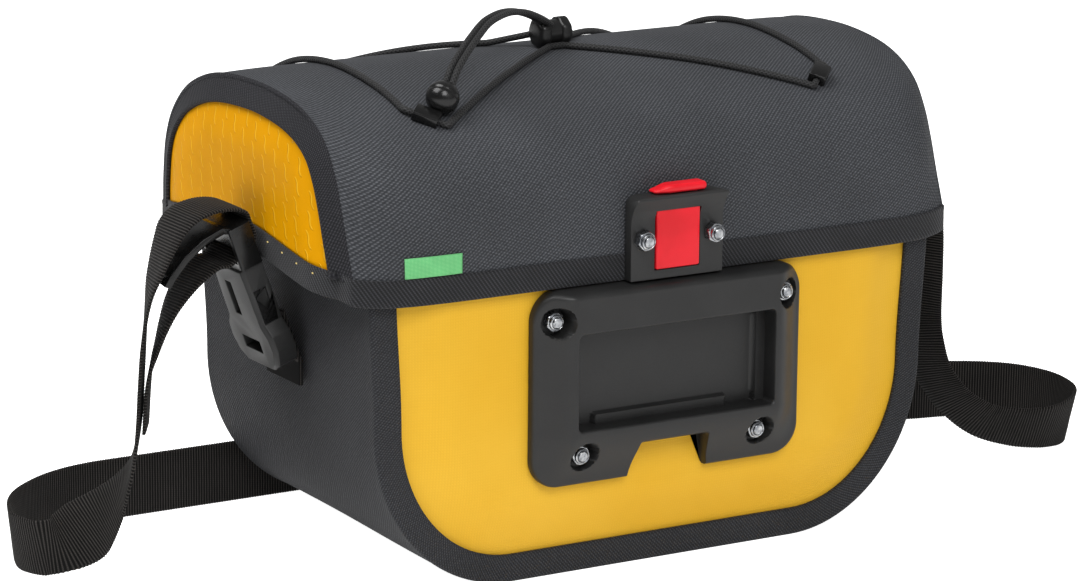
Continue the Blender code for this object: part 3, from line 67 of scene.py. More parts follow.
class Recipe:
    """Wires the nodes of one material, from a pattern's formula to the shader."""

    def __init__(self, name: str, layout: Layout) -> None:
        """Starts a material.

        Args:
            name: the material's name.
            layout: where its pattern lies.
        """
        self.material = bpy.data.materials.new(name)
        self.material.use_nodes = True
        self.tree = self.material.node_tree
        self.shader = self.tree.nodes["Principled BSDF"]
        self.place = self.tree.nodes.new("ShaderNodeTexCoord").outputs[layout.value]
        split = self.tree.nodes.new("ShaderNodeSeparateXYZ")
        self.feed(split.inputs[0], self.place)
        self.u, self.v = split.outputs[0], split.outputs[1]
        if layout is Layout.SOLID:
            self.v = self.math("ADD", split.outputs[1], split.outputs[2])

    def feed(self, socket: bpy.types.NodeSocket, value: object) -> None:
        """Links a socket to another, or sets its number or colour."""
        if isinstance(value, bpy.types.NodeSocket):
            self.tree.links.new(value, socket)
        elif isinstance(value, tuple) and len(value) == 3 and socket.type == "RGBA":
            socket.default_value = (*value, 1.0)
        else:
            socket.default_value = value

    def math(self, operation: str, *values: object) -> bpy.types.NodeSocket:
        """One step of arithmetic on numbers or sockets."""
        node = self.tree.nodes.new("ShaderNodeMath")
        node.operation = operation
        for socket, value in zip(node.inputs, values):
            self.feed(socket, value)
        return node.outputs[0]

    def wave(self, along: float, across: float, pitch: float) -> bpy.types.NodeSocket:
        """Ribs square to a direction.

        The value is 0.5 + 0.5 sin(2 pi (along u + across v) / pitch).

        Args:
            along: the direction's share of u.
            across: the direction's share of v.
            pitch: the distance between ribs.

        Returns:
            A socket from 0 to 1.
        """
        turn = 2 * math.pi / pitch
        first = self.math("MULTIPLY", self.u, along * turn)
        second = self.math("MULTIPLY", self.v, across * turn)
        return self.math("MULTIPLY_ADD", self.math("SINE", self.math("ADD", first, second)), 0.5, 0.5)

    def span(
        self, value: object, low: float, high: float, out_low: float = 0.0, out_high: float = 1.0
    ) -> bpy.types.NodeSocket:
        """A smooth step of the value from low to high, taken to another range.

        Args:
            value: a number or socket.
            low: where the step starts.
            high: where it ends. It may be the smaller one.
            out_low: the result at low.
            out_high: the result at high.

        Returns:
            A socket from out_low to out_high.
        """
        node = self.tree.nodes.new("ShaderNodeMapRange")
        node.interpolation_type = "SMOOTHSTEP"
        for socket, number in zip(node.inputs, (value, low, high, out_low, out_high)):
            self.feed(socket, number)
        return node.outputs[0]

    def noise(self, scale: float, detail: float = 2.0) -> bpy.types.NodeSocket:
        """Soft random mottling; scale is its number of spots to the metre."""
        node = self.tree.nodes.new("ShaderNodeTexNoise")
        self.feed(node.inputs["Vector"], self.place)
        node.inputs["Scale"].default_value = scale
        node.inputs["Detail"].default_value = detail
        return node.outputs[0]

    def mix(self, share: object, first: object, second: object) -> bpy.types.NodeSocket:
        """The first colour at share 0 and the second at share 1."""
        node = self.tree.nodes.new("ShaderNodeMix")
        node.data_type = "RGBA"
        self.feed(node.inputs[0], share)
        self.feed(node.inputs[6], first)
        self.feed(node.inputs[7], second)
        return node.outputs[2]

    def scale(self, colour: bpy.types.NodeSocket, factor: object) -> bpy.types.NodeSocket:
        """The colour times a factor."""
        node = self.tree.nodes.new("ShaderNodeVectorMath")
        node.operation = "SCALE"
        self.feed(node.inputs[0], colour)
        self.feed(node.inputs["Scale"], factor)
        return node.outputs[0]

    def mottled(
        self, colour: bpy.types.NodeSocket, spots: object, low: float, high: float
    ) -> bpy.types.NodeSocket:
        """The colour times a factor that the spots take from low to high."""
        return self.scale(colour, self.span(spots, 0.3, 0.7, low, high))

    def emboss(self, height: bpy.types.NodeSocket, depth: float) -> None:
        """Raises the surface where height is 1, by the depth."""
        node = self.tree.nodes.new("ShaderNodeBump")
        node.inputs["Distance"].default_value = depth
        self.feed(node.inputs["Height"], height)
        self.feed(self.shader.inputs["Normal"], node.outputs[0])

    def set(self, **values: object) -> None:
        """Feeds the shader's sockets, named with underscores for spaces."""
        for name, value in values.items():
            self.feed(self.shader.inputs[name.replace("_", " ")], value)


@dataclass(frozen=True)
class Finish:
    """A finish: a slot name, which starts its material's name, and the recipe of that material."""

    slot: str
    use: str = "plain"

    def cook(self, recipe: Recipe) -> None:
        """Wires the finish's own pattern."""
        raise NotImplementedError

    def material(self, layout: Layout) -> bpy.types.Material:
        """The finish's material for a layout, made once."""
        name = f"{self.slot}_{self.use}_{layout.name.lower()}"
        made = bpy.data.materials.get(name)
        if made is None:
            recipe = Recipe(name, layout)
            self.cook(recipe)
            made = recipe.material
        return made

    def dress(self, piece: bpy.types.Object, layout: Layout) -> None:
        """Gives the piece this finish's material, whose name holds the slot.

        Args:
            piece: the object to dress.
            layout: where the pattern lies on it.
        """
        piece.data.materials.clear()
        piece.data.materials.append(self.material(layout))


@dataclass(frozen=True)
class CoatedCloth(Finish):
    """Coated polyester whose weave shows as a slanting field of small pale grains."""

    slot: str = "coated_cloth"
    ground: Colour = (0.026, 0.028, 0.032)
    thread: Colour = (0.080, 0.083, 0.092)
    pitch: float = 1.22 * MM

    def cook(self, recipe: Recipe) -> None:
        """Grains where two slanting waves meet, over a soft mottling."""
        steep = recipe.wave(0.66, -0.75, self.pitch)
        flat = recipe.wave(0.35, 0.94, self.pitch * 0.9)
        grain = recipe.math("MULTIPLY", steep, recipe.span(flat, 0.0, 1.0, 0.4, 1.0))
        shown = recipe.span(grain, 0.12, 0.9)
        cloud = recipe.noise(14.0, 3.0)
        speck = recipe.noise(900.0, 1.0)
        colour = recipe.mix(shown, self.ground, self.thread)
        colour = recipe.mottled(colour, cloud, 0.86, 1.12)
        colour = recipe.mottled(colour, speck, 0.8, 1.2)
        recipe.set(Base_Color=colour, Roughness=recipe.span(shown, 0.0, 1.0, 0.78, 0.62))
        recipe.set(Specular_IOR_Level=0.22, Sheen_Weight=0.03, Sheen_Roughness=0.5)
        recipe.emboss(recipe.math("MULTIPLY_ADD", speck, 0.3, grain), 0.16 * MM)


@dataclass(frozen=True)
class Tarpaulin(Finish):
    """Smooth yellow tarpaulin with a faint grid of its backing showing through."""

    slot: str = "yellow_cloth"
    body: Colour = (0.69, 0.385, 0.022)
    faded: Colour = (0.73, 0.425, 0.034)

    def cook(self, recipe: Recipe) -> None:
        """A faint square grid and soft clouds of a paler yellow."""
        grid = recipe.math("MULTIPLY", recipe.wave(1.0, 0.0, 1.1 * MM), recipe.wave(0.0, 1.0, 1.1 * MM))
        cloud = recipe.noise(16.0, 4.0)
        fine = recipe.noise(1500.0, 2.0)
        colour = recipe.mix(recipe.span(cloud, 0.3, 0.75), self.body, self.faded)
        colour = recipe.scale(colour, recipe.span(grid, 0.0, 1.0, 0.975, 1.02))
        recipe.set(Base_Color=colour, Roughness=recipe.span(fine, 0.2, 0.8, 0.48, 0.6))
        recipe.set(Specular_IOR_Level=0.14)
        height = recipe.math("MULTIPLY_ADD", cloud, 6.0, recipe.math("MULTIPLY_ADD", fine, 0.5, grid))
        recipe.emboss(height, 0.05 * MM)


@dataclass(frozen=True)
class EmbossedCloth(Finish):
    """The lid's orange-yellow ends with their staggered columns of short curved ridges."""

    slot: str = "embossed_cloth"
    ground: Colour = (0.60, 0.265, 0.0)
    ridge: Colour = (0.76, 0.42, 0.02)
    column: float = 8.6 * MM
    row: float = 7.4 * MM

    def cook(self, recipe: Recipe) -> None:
        """Ridges on a brick grid.

        In its cell of the grid, a ridge is the line u = 0.25 + 0.5 v + 0.07 sin(2 pi v), which fades out near
        v 0 and 1.
        """
        across = recipe.math("DIVIDE", recipe.u, self.column)
        number = recipe.math("FLOOR", across)
        stagger = recipe.math("MULTIPLY", number, 0.5)
        cell_u = recipe.math("SUBTRACT", across, number)
        cell_v = recipe.math("FRACT", recipe.math("ADD", recipe.math("DIVIDE", recipe.v, self.row), stagger))
        lean = recipe.math("MULTIPLY_ADD", cell_v, 0.5, 0.25)
        swing = recipe.math("SINE", recipe.math("MULTIPLY", cell_v, 2 * math.pi))
        bend = recipe.math("MULTIPLY", swing, 0.07)
        aside = recipe.math("ABSOLUTE", recipe.math("SUBTRACT", cell_u, recipe.math("ADD", lean, bend)))
        line = recipe.span(aside, 0.075, 0.02)
        ends = recipe.span(recipe.math("ABSOLUTE", recipe.math("SUBTRACT", cell_v, 0.5)), 0.48, 0.40)
        ridge = recipe.math("MULTIPLY", line, ends)
        cloud = recipe.noise(20.0, 3.0)
        fine = recipe.noise(1400.0, 2.0)
        colour = recipe.mix(recipe.math("MULTIPLY", ridge, 0.75), self.ground, self.ridge)
        colour = recipe.mottled(colour, cloud, 0.93, 1.07)
        recipe.set(Base_Color=colour, Roughness=recipe.span(fine, 0.2, 0.8, 0.48, 0.6))
        recipe.set(Specular_IOR_Level=0.05)
        recipe.emboss(recipe.math("MULTIPLY_ADD", fine, 0.12, ridge), 0.35 * MM)


@dataclass(frozen=True)
class TwillTape(Finish):
    """Black binding tape with slanting twill ribs."""

    slot: str = "tape"
    ground: Colour = (0.006, 0.006, 0.007)
    rib: Colour = (0.036, 0.037, 0.042)
    pitch: float = 1.3 * MM

    def cook(self, recipe: Recipe) -> None:
        """Slanting ribs, broken into stitches by a finer wave."""
        rib = recipe.wave(0.8, -0.6, self.pitch)
        yarn = recipe.wave(0.3, 0.95, self.pitch * 0.62)
        grain = recipe.math("MULTIPLY", rib, recipe.math("MULTIPLY_ADD", yarn, 0.4, 0.6))
        cloud = recipe.noise(60.0, 2.0)
        colour = recipe.mix(recipe.span(grain, 0.3, 0.9), self.ground, self.rib)
        colour = recipe.mottled(colour, cloud, 0.8, 1.2)
        recipe.set(Base_Color=colour, Roughness=recipe.span(cloud, 0.3, 0.7, 0.78, 0.9))
        recipe.set(Specular_IOR_Level=0.2, Sheen_Weight=0.08, Sheen_Roughness=0.6)
        recipe.emboss(grain, 0.2 * MM)


@dataclass(frozen=True)
class RibbedWebbing(Finish):
    """Brown-black webbing with a rib across it at every pick of its weave. Its pale rib colour is painted
    highlight on the rib crests, and its near-black ground is painted shade between them.
    """

    slot: str = "webbing"
    # painted shade between the ribs
    ground: Colour = (0.003, 0.0028, 0.0026)
    # painted highlight on the rib crests
    rib: Colour = (0.044, 0.040, 0.037)
    pitch: float = 1.15 * MM

    def cook(self, recipe: Recipe) -> None:
        """Ribs across u, each of fine yarns side by side along v, painted pale as highlights on their crests
        over a ground of painted shade.
        """
        rib = recipe.wave(1.0, 0.0, self.pitch)
        yarn = recipe.wave(0.12, 1.0, 0.85 * MM)
        yarns = recipe.math("MULTIPLY_ADD", yarn, 0.35, 0.65)
        shown = recipe.math("MULTIPLY", recipe.span(rib, 0.42, 0.95), yarns)
        cloud = recipe.noise(40.0, 3.0)
        # painted highlight on each rib crest, painted shade between the ribs
        colour = recipe.mix(shown, self.ground, self.rib)
        colour = recipe.mottled(colour, cloud, 0.82, 1.15)
        recipe.set(Base_Color=colour, Roughness=recipe.span(shown, 0.0, 1.0, 0.85, 0.68))
        recipe.set(Specular_IOR_Level=0.12, Sheen_Weight=0.03, Sheen_Roughness=0.5)
        recipe.emboss(shown, 0.14 * MM)


@dataclass(frozen=True)
class Braid(Finish):
    """The elastic cord's braided sleeve; u counts turns round the cord and v is metres along it."""

    slot: str = "elastic"
    ground: Colour = (0.003, 0.003, 0.003)
    strand: Colour = (0.026, 0.026, 0.027)
    pitch: float = 1.7 * MM

    def cook(self, recipe: Recipe) -> None:
        """Two families of helices crossing each other."""
        left = recipe.wave(5 * self.pitch, 1.0, self.pitch)
        right = recipe.wave(-5 * self.pitch, 1.0, self.pitch)
        strand = recipe.math("MAXIMUM", recipe.math("POWER", left, 2.0), recipe.math("POWER", right, 2.0))
        colour = recipe.mix(recipe.math("MULTIPLY", strand, 0.8), self.ground, self.strand)
        recipe.set(Base_Color=colour, Roughness=recipe.span(strand, 0.0, 1.0, 0.75, 0.5))
        recipe.set(Specular_IOR_Level=0.3, Sheen_Weight=0.05)
        recipe.emboss(strand, 0.16 * MM)


@dataclass(frozen=True)
class MouldedPlastic(Finish):
    """Black moulded plastic with a fine eroded grain and a few flow marks."""

    slot: str = "black_plastic"
    shade: float = 0.013
    gloss: float = 0.40

    def cook(self, recipe: Recipe) -> None:
        """A fine grain and slow clouds in tone and gloss."""
        grain = recipe.noise(2600.0, 2.0)
        cloud = recipe.noise(45.0, 3.0)
        dark, pale = (self.shade,) * 3, (1.35 * self.shade,) * 3
        colour = recipe.mix(recipe.span(cloud, 0.35, 0.7), dark, pale)
        colour = recipe.mottled(colour, grain, 0.88, 1.12)
        recipe.set(Base_Color=colour, Roughness=recipe.span(cloud, 0.3, 0.7, self.gloss, self.gloss + 0.1))
        recipe.set(Specular_IOR_Level=0.34)
        recipe.emboss(grain, 0.03 * MM)


@dataclass(frozen=True)
class Zinc(Finish):
    """Bright zinc plate on the lock nuts."""

    slot: str = "zinc"
    bright: Colour = (0.50, 0.51, 0.52)
    dull: Colour = (0.20, 0.21, 0.23)

    def cook(self, recipe: Recipe) -> None:
        """Plating spots in tone and gloss."""
        spot = recipe.noise(500.0, 3.0)
        colour = recipe.mix(recipe.span(spot, 0.3, 0.7), self.bright, self.dull)
        recipe.set(Base_Color=colour, Roughness=recipe.span(spot, 0.3, 0.7, 0.16, 0.34), Metallic=1.0)
        recipe.emboss(spot, 0.04 * MM)


@dataclass(frozen=True)
class RedPlastic(Finish):
    """The latch's glossy red plastic."""

    slot: str = "red_plastic"
    body: Colour = (0.70, 0.008, 0.018)
    deep: Colour = (0.60, 0.005, 0.012)

    def cook(self, recipe: Recipe) -> None:
        """Slow clouds of a deeper red and a fine grain."""
        cloud = recipe.noise(70.0, 2.0)
        grain = recipe.noise(2000.0, 1.0)
        colour = recipe.mix(recipe.span(cloud, 0.35, 0.7), self.body, self.deep)
        recipe.set(Base_Color=colour, Roughness=recipe.span(grain, 0.3, 0.7, 0.32, 0.42))
        recipe.set(Specular_IOR_Level=0.25, Coat_Weight=0.1, Coat_Roughness=0.25)
        recipe.emboss(grain, 0.02 * MM)


@dataclass(frozen=True)
class WovenLabel(Finish):
    """A bare green woven label."""

    slot: str = "label"
    thread: Colour = (0.22, 0.58, 0.26)
    gap: Colour = (0.10, 0.42, 0.14)

    def cook(self, recipe: Recipe) -> None:
        """Fine picks across and ends along."""
        weave = recipe.math("MULTIPLY", recipe.wave(1.0, 0.0, 0.55 * MM), recipe.wave(0.0, 1.0, 0.5 * MM))
        cloud = recipe.noise(120.0, 2.0)
        colour = recipe.mix(recipe.span(weave, 0.05, 0.5), self.gap, self.thread)
        recipe.set(Base_Color=recipe.mottled(colour, cloud, 0.92, 1.06), Specular_IOR_Level=0.25)
        recipe.set(Roughness=recipe.span(weave, 0.0, 1.0, 0.75, 0.6))
        recipe.emboss(weave, 0.08 * MM)


@dataclass(frozen=True)
class StitchThread(Finish):
    """Pale yellow thread."""

    slot: str = "yellow_cloth"
    use: str = "thread"
    light: Colour = (0.85, 0.70, 0.30)
    dark: Colour = (0.60, 0.42, 0.10)

    def cook(self, recipe: Recipe) -> None:
        """Twisted plies."""
        ply = recipe.wave(0.7, 0.7, 0.3 * MM)
        recipe.set(Base_Color=recipe.mix(ply, self.dark, self.light))
        recipe.set(Roughness=recipe.span(ply, 0.0, 1.0, 0.8, 0.6))
        recipe.emboss(ply, 0.05 * MM)


# Surfaces


def surface(
    name: str,
    points: np.ndarray,
    uv: np.ndarray,
    inside: tuple[float, float, float] | None = None,
    ring: bool = False,
    loop: bool = False,
) -> bpy.types.Object:
    """A mesh on a grid: cell (i, j) is the quad between rows i, i + 1 and columns j, j + 1.

    Faces are turned so that the sum of (centre - inside) . normal over all quads is positive.

    Args:
        name: the object's name.
        points: places of shape (rows, columns, 3).
        uv: map places, with one more column for a ring and one more row for a loop.
        inside: a point behind the surface; the points' mean when left out.
        ring: whether the last column joins the first.
        loop: whether the last row joins the first. A ring that isn't a loop has its two ends closed.

    Returns:
        The object, smooth shaded, in the scene.
    """
    rows, columns = points.shape[:2]
    i, j = np.meshgrid(np.arange(rows - (not loop)), np.arange(columns - (not ring)), indexing="ij")
    below, beside = (i + 1) % rows, (j + 1) % columns
    near, far = i * columns, below * columns
    quads = np.stack([near + j, near + beside, far + beside, far + j], -1)
    corners = np.stack([uv[i, j], uv[i, j + 1], uv[i + 1, j + 1], uv[i + 1, j]], -2)
    quads, corners = quads.reshape(-1, 4), corners.reshape(-1, 4, 2)
    flat = points.reshape(-1, 3)
    centre = flat.mean(axis=0) if inside is None else np.array(inside)
    a, b, c, d = (flat[quads[:, k]] for k in range(4))
    facing = np.einsum("ij,ij->i", (a + b + c + d) / 4 - centre, np.cross(c - a, d - b)).sum()
    if facing < 0:
        quads, corners = quads[:, ::-1], corners[:, ::-1]
    faces = quads.tolist()
    maps = corners.reshape(-1, 2)
    if ring and not loop:
        first, last = list(range(columns)), list(range((rows - 1) * columns, rows * columns))
        faces += [first if facing < 0 else first[::-1], last[::-1] if facing < 0 else last]
        maps = np.concatenate([maps, np.repeat(uv[:1, 0], columns, 0), np.repeat(uv[-1:, 0], columns, 0)])
    mesh = bpy.data.meshes.new(name)
    mesh.from_pydata(flat.tolist(), [], faces)
    mesh.uv_layers.new(name="layout").data.foreach_set("uv", maps.ravel())
    mesh.shade_smooth()
    piece = bpy.data.objects.new(name, mesh)
    bpy.context.scene.collection.objects.link(piece)
    return piece


def along(points: np.ndarray) -> np.ndarray:
    """Distance run along a line of points, from 0."""
    return np.concatenate([[0.0], np.cumsum(np.linalg.norm(np.diff(points, axis=0), axis=-1))])


def smooth_line(points: np.ndarray, step: float) -> np.ndarray:
    """A curve through the points, in even steps.

    Between two points b and c, with a before and d after, it is the Catmull-Rom cubic of a, b, c and d.

    Args:
        points: places of shape (count, any).
        step: the distance between the points returned.

    Returns:
        Points of shape (more, any), evenly spaced along the curve.
    """
    ends = np.concatenate([[2 * points[0] - points[1]], points, [2 * points[-1] - points[-2]]])
    t = np.linspace(0, 1, 16, endpoint=False)[None, :, None]
    a, b, c, d = (ends[k : len(ends) - 3 + k, None] for k in range(4))
    cubic = (2 * b + (c - a) * t + (2 * a - 5 * b + 4 * c - d) * t**2 + (3 * b - a - 3 * c + d) * t**3) / 2
    dense = np.concatenate([cubic.reshape(-1, points.shape[1]), points[-1:]])
    run = along(dense)
    places = np.linspace(0, run[-1], max(2, round(run[-1] / step) + 1))
    return np.stack([np.interp(places, run, column) for column in dense.T], -1)


def unit(vectors: np.ndarray) -> np.ndarray:
    """The vectors at length 1."""
    return vectors / np.linalg.norm(vectors, axis=-1, keepdims=True)


def sheet_map(points: np.ndarray) -> np.ndarray:
    """A map of a sheet in metres: u runs down its middle column and v along its middle row."""
    u = along(points[:, points.shape[1] // 2])
    v = along(points[points.shape[0] // 2])
    return np.stack(np.meshgrid(u, v, indexing="ij"), -1)


def tube(name: str, path: np.ndarray, radius: float, sides: int, closed: bool) -> bpy.types.Object:
    """A round cord: at each place p of the path, p + radius (cos a * side + sin a * up).

    Side is level and square to the path, and up is square to both.

    Args:
        name: the object's name.
        path: places of shape (count, 3).
        radius: the cord's radius.
        sides: points round it.
        closed: whether the path joins its own start.

    Returns:
        The cord, with u counting turns and v in metres.
    """
    around = np.concatenate([path[-1:], path, path[:1]]) if closed else path
    ahead = unit(np.gradient(around, axis=0)[1:-1] if closed else np.gradient(path, axis=0))
    side = unit(np.cross(ahead, [0.0, 0.0, 1.0]) + 1e-9)
    up = np.cross(side, ahead)
    angle = np.linspace(0, 2 * math.pi, sides, endpoint=False)[None, :, None]
    points = path[:, None] + radius * (np.cos(angle) * side[:, None] + np.sin(angle) * up[:, None])
    run = along(np.concatenate([path, path[:1]]) if closed else path)
    uv = np.stack(np.meshgrid(run, np.linspace(0, 1, sides + 1), indexing="ij")[::-1], -1)
    return surface(name, points, uv, ring=True, loop=closed)


def turned(name: str, profile: np.ndarray, shape: np.ndarray, frame: np.ndarray) -> bpy.types.Object:
    """A turned piece: at height h of the profile, the radius is r times the shape at each angle.

    Args:
        name: the object's name.
        profile: rows of (radius, height) from one end to the other.
        shape: the radius's factor at each row and angle, shape (rows, angles).
        frame: a 4 x 4 placing whose Z is the piece's axis.

    Returns:
        The piece with both ends closed.
    """
    angle = np.linspace(0, 2 * math.pi, shape.shape[1], endpoint=False)
    radius = profile[:, :1] * shape
    height = np.broadcast_to(profile[:, 1:], radius.shape)
    local = np.stack([radius * np.cos(angle), radius * np.sin(angle), height, np.ones_like(radius)], -1)
    points = (local @ frame.T)[..., :3]
    run = along(profile)
    uv = np.stack(np.meshgrid(run, np.linspace(0, 0.02, shape.shape[1] + 1), indexing="ij"), -1)
    return surface(name, points, uv, ring=True)


def frame_along(place: np.ndarray, axis: np.ndarray) -> np.ndarray:
    """A 4 x 4 placing at the place, with Z along the axis and X level."""
    z = unit(np.asarray(axis, float))
    x = unit(np.cross([0.0, 0.0, 1.0] if abs(z[2]) < 0.9 else [0.0, 1.0, 0.0], z))
    made = np.eye(4)
    made[:3, 0], made[:3, 1], made[:3, 2], made[:3, 3] = x, np.cross(z, x), z, place
    return made


def rounded_run(half: float, radius: float, count: int) -> np.ndarray:
    """Places from -half to half, close together within the radius of both ends."""
    turn = radius * (1 - np.cos(np.linspace(0, math.pi / 2, 5)))
    straight = np.linspace(radius - half, half - radius, count)[1:-1]
    return np.concatenate([turn - half, straight, half - turn[::-1]])


def rounded_box_ring(y: float, z: float, half_y: float, half_z: float, radius: float) -> np.ndarray:
    """A rectangle with round corners about (y, z), as a closed ring of points (y, z)."""
    angle = np.radians(np.concatenate([np.linspace(start, start + 90, 7) for start in (0, 90, 180, 270)]))
    corner = np.repeat([[1, 1], [-1, 1], [-1, -1], [1, -1]], 7, axis=0)
    centre = np.array([y, z]) + corner * [half_y - radius, half_z - radius]
    return centre + radius * np.stack([np.cos(angle), np.sin(angle)], -1)


def stretch(start: tuple[float, float], end: tuple[float, float], count: int) -> np.ndarray:
    """Even points from the start towards the end, without the end."""
    share = np.linspace(0, 1, count, endpoint=False)[:, None]
    return np.array(start) * (1 - share) + np.array(end) * share


def quarter(centre: tuple[float, float], radius: float, start: float) -> np.ndarray:
    """24 points of a quarter circle that starts at an angle in degrees, without its end."""
    angle = np.radians(np.linspace(start, start + 90, 24, endpoint=False))
    return np.array(centre) + radius * np.stack([np.cos(angle), np.sin(angle)], -1)


def towards(start: np.ndarray, end: np.ndarray, share: np.ndarray) -> np.ndarray:
    """Rings at each share of the way from the start ring to the end: start + share (end - start)."""
    return start[None] + np.asarray(share)[:, None, None] * (end - start)[None]


def swept(x: np.ndarray, sections: np.ndarray) -> np.ndarray:
    """Points (x, y, z) of the section (y, z) at each x. A single section serves at every x."""
    sections = np.broadcast_to(sections, (len(x), *sections.shape[-2:]))
    return np.concatenate([np.broadcast_to(x[:, None, None], (*sections.shape[:2], 1)), sections], -1)


def bar(x: np.ndarray, ring: np.ndarray, radius: float) -> np.ndarray:
    """A ring of (y, z) carried along x and drawn in at both ends.

    At a distance d from an end, less than the radius r, each point moves towards the ring's middle by
    r - sqrt(r^2 - (r - d)^2).

    Args:
        x: places along the bar.
        ring: the closed ring.
        radius: how round its ends are.

    Returns:
        Points of shape (places, ring points, 3).
    """
    near = np.clip(1 - (x[-1] - np.abs(x)) / radius, 0, 1)
    drawn = radius * (1 - np.sqrt(1 - near**2))[:, None, None]
    middle = ring.mean(axis=0)
    half = np.abs(ring - middle).max(axis=0)
    return swept(x, middle + (ring - middle)[None] * (1 - np.minimum(drawn / half, 0.98)))


def thicken(piece: bpy.types.Object, wall: float) -> None:
    """Gives a sheet its wall, inwards from its outer face."""
    solid = piece.modifiers.new("Wall", "SOLIDIFY")
    solid.thickness = wall
    solid.offset = -1.0


def softened(node: str, name: str, edge: float, finish: Finish) -> bpy.types.Object:
    """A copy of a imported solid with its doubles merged, flat faces joined and edges rounded.

    Args:
        node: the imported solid.
        name: the copy's name.
        edge: the radius of its rounded edges.
        finish: the copy's finish.

    Returns:
        The copy, which stands for the solid.
    """
    mesh = bpy.data.objects[node].data.copy()
    bm = bmesh.new()
    bm.from_mesh(mesh)
    bmesh.ops.remove_doubles(bm, verts=bm.verts, dist=0.02 * MM)
    bmesh.ops.dissolve_limit(bm, angle_limit=math.radians(1.5), verts=bm.verts, edges=bm.edges)
    for face in bm.faces:
        face.smooth = True
    bm.to_mesh(mesh)
    bm.free()
    mesh.name = name
    piece = bpy.data.objects.new(name, mesh)
    bpy.context.scene.collection.objects.link(piece)
    bevel = piece.modifiers.new("Edge", "BEVEL")
    bevel.width = edge
    bevel.segments = 3
    bevel.limit_method = "ANGLE"
    bevel.angle_limit = SHARP["copy"]
    bevel.harden_normals = True
    return settle(piece, finish, Layout.SOLID, node)


def moulding(
    name: str, rings: np.ndarray, finish: Finish, *nodes: str, ride: Ride = Ride.BAG
) -> bpy.types.Object:
    """A moulded piece made of closed rings of points, with its steeper edges left sharp.

    Its map stays at 0, because a moulded finish doesn't read it.

    Args:
        name: the piece's name.
        rings: points in millimetres, shape (rings, points, 3).
        finish: its finish.
        nodes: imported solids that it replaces.
        ride: the body that carries it.

    Returns:
        The piece.
    """
    piece = surface(name, rings * MM, np.zeros((len(rings), rings.shape[1] + 1, 2)), ring=True)
    piece.data.set_sharp_from_angle(angle=SHARP["moulding"])
    return settle(piece, finish, Layout.SOLID, *nodes, ride=ride)


def settle(
    piece: bpy.types.Object, finish: Finish, layout: Layout, *nodes: str, ride: Ride = Ride.BAG
) -> bpy.types.Object:
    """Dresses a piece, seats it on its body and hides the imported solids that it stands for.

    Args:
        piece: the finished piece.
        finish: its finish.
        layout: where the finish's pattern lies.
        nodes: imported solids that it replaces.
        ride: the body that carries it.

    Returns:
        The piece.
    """
    finish.dress(piece, layout)
    if nodes:
        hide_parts(*nodes)
    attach(piece, ride.value)
    LOG.info("%s: %d faces, on %s", piece.name, len(piece.data.polygons), ride.value)
    return piece


# Body


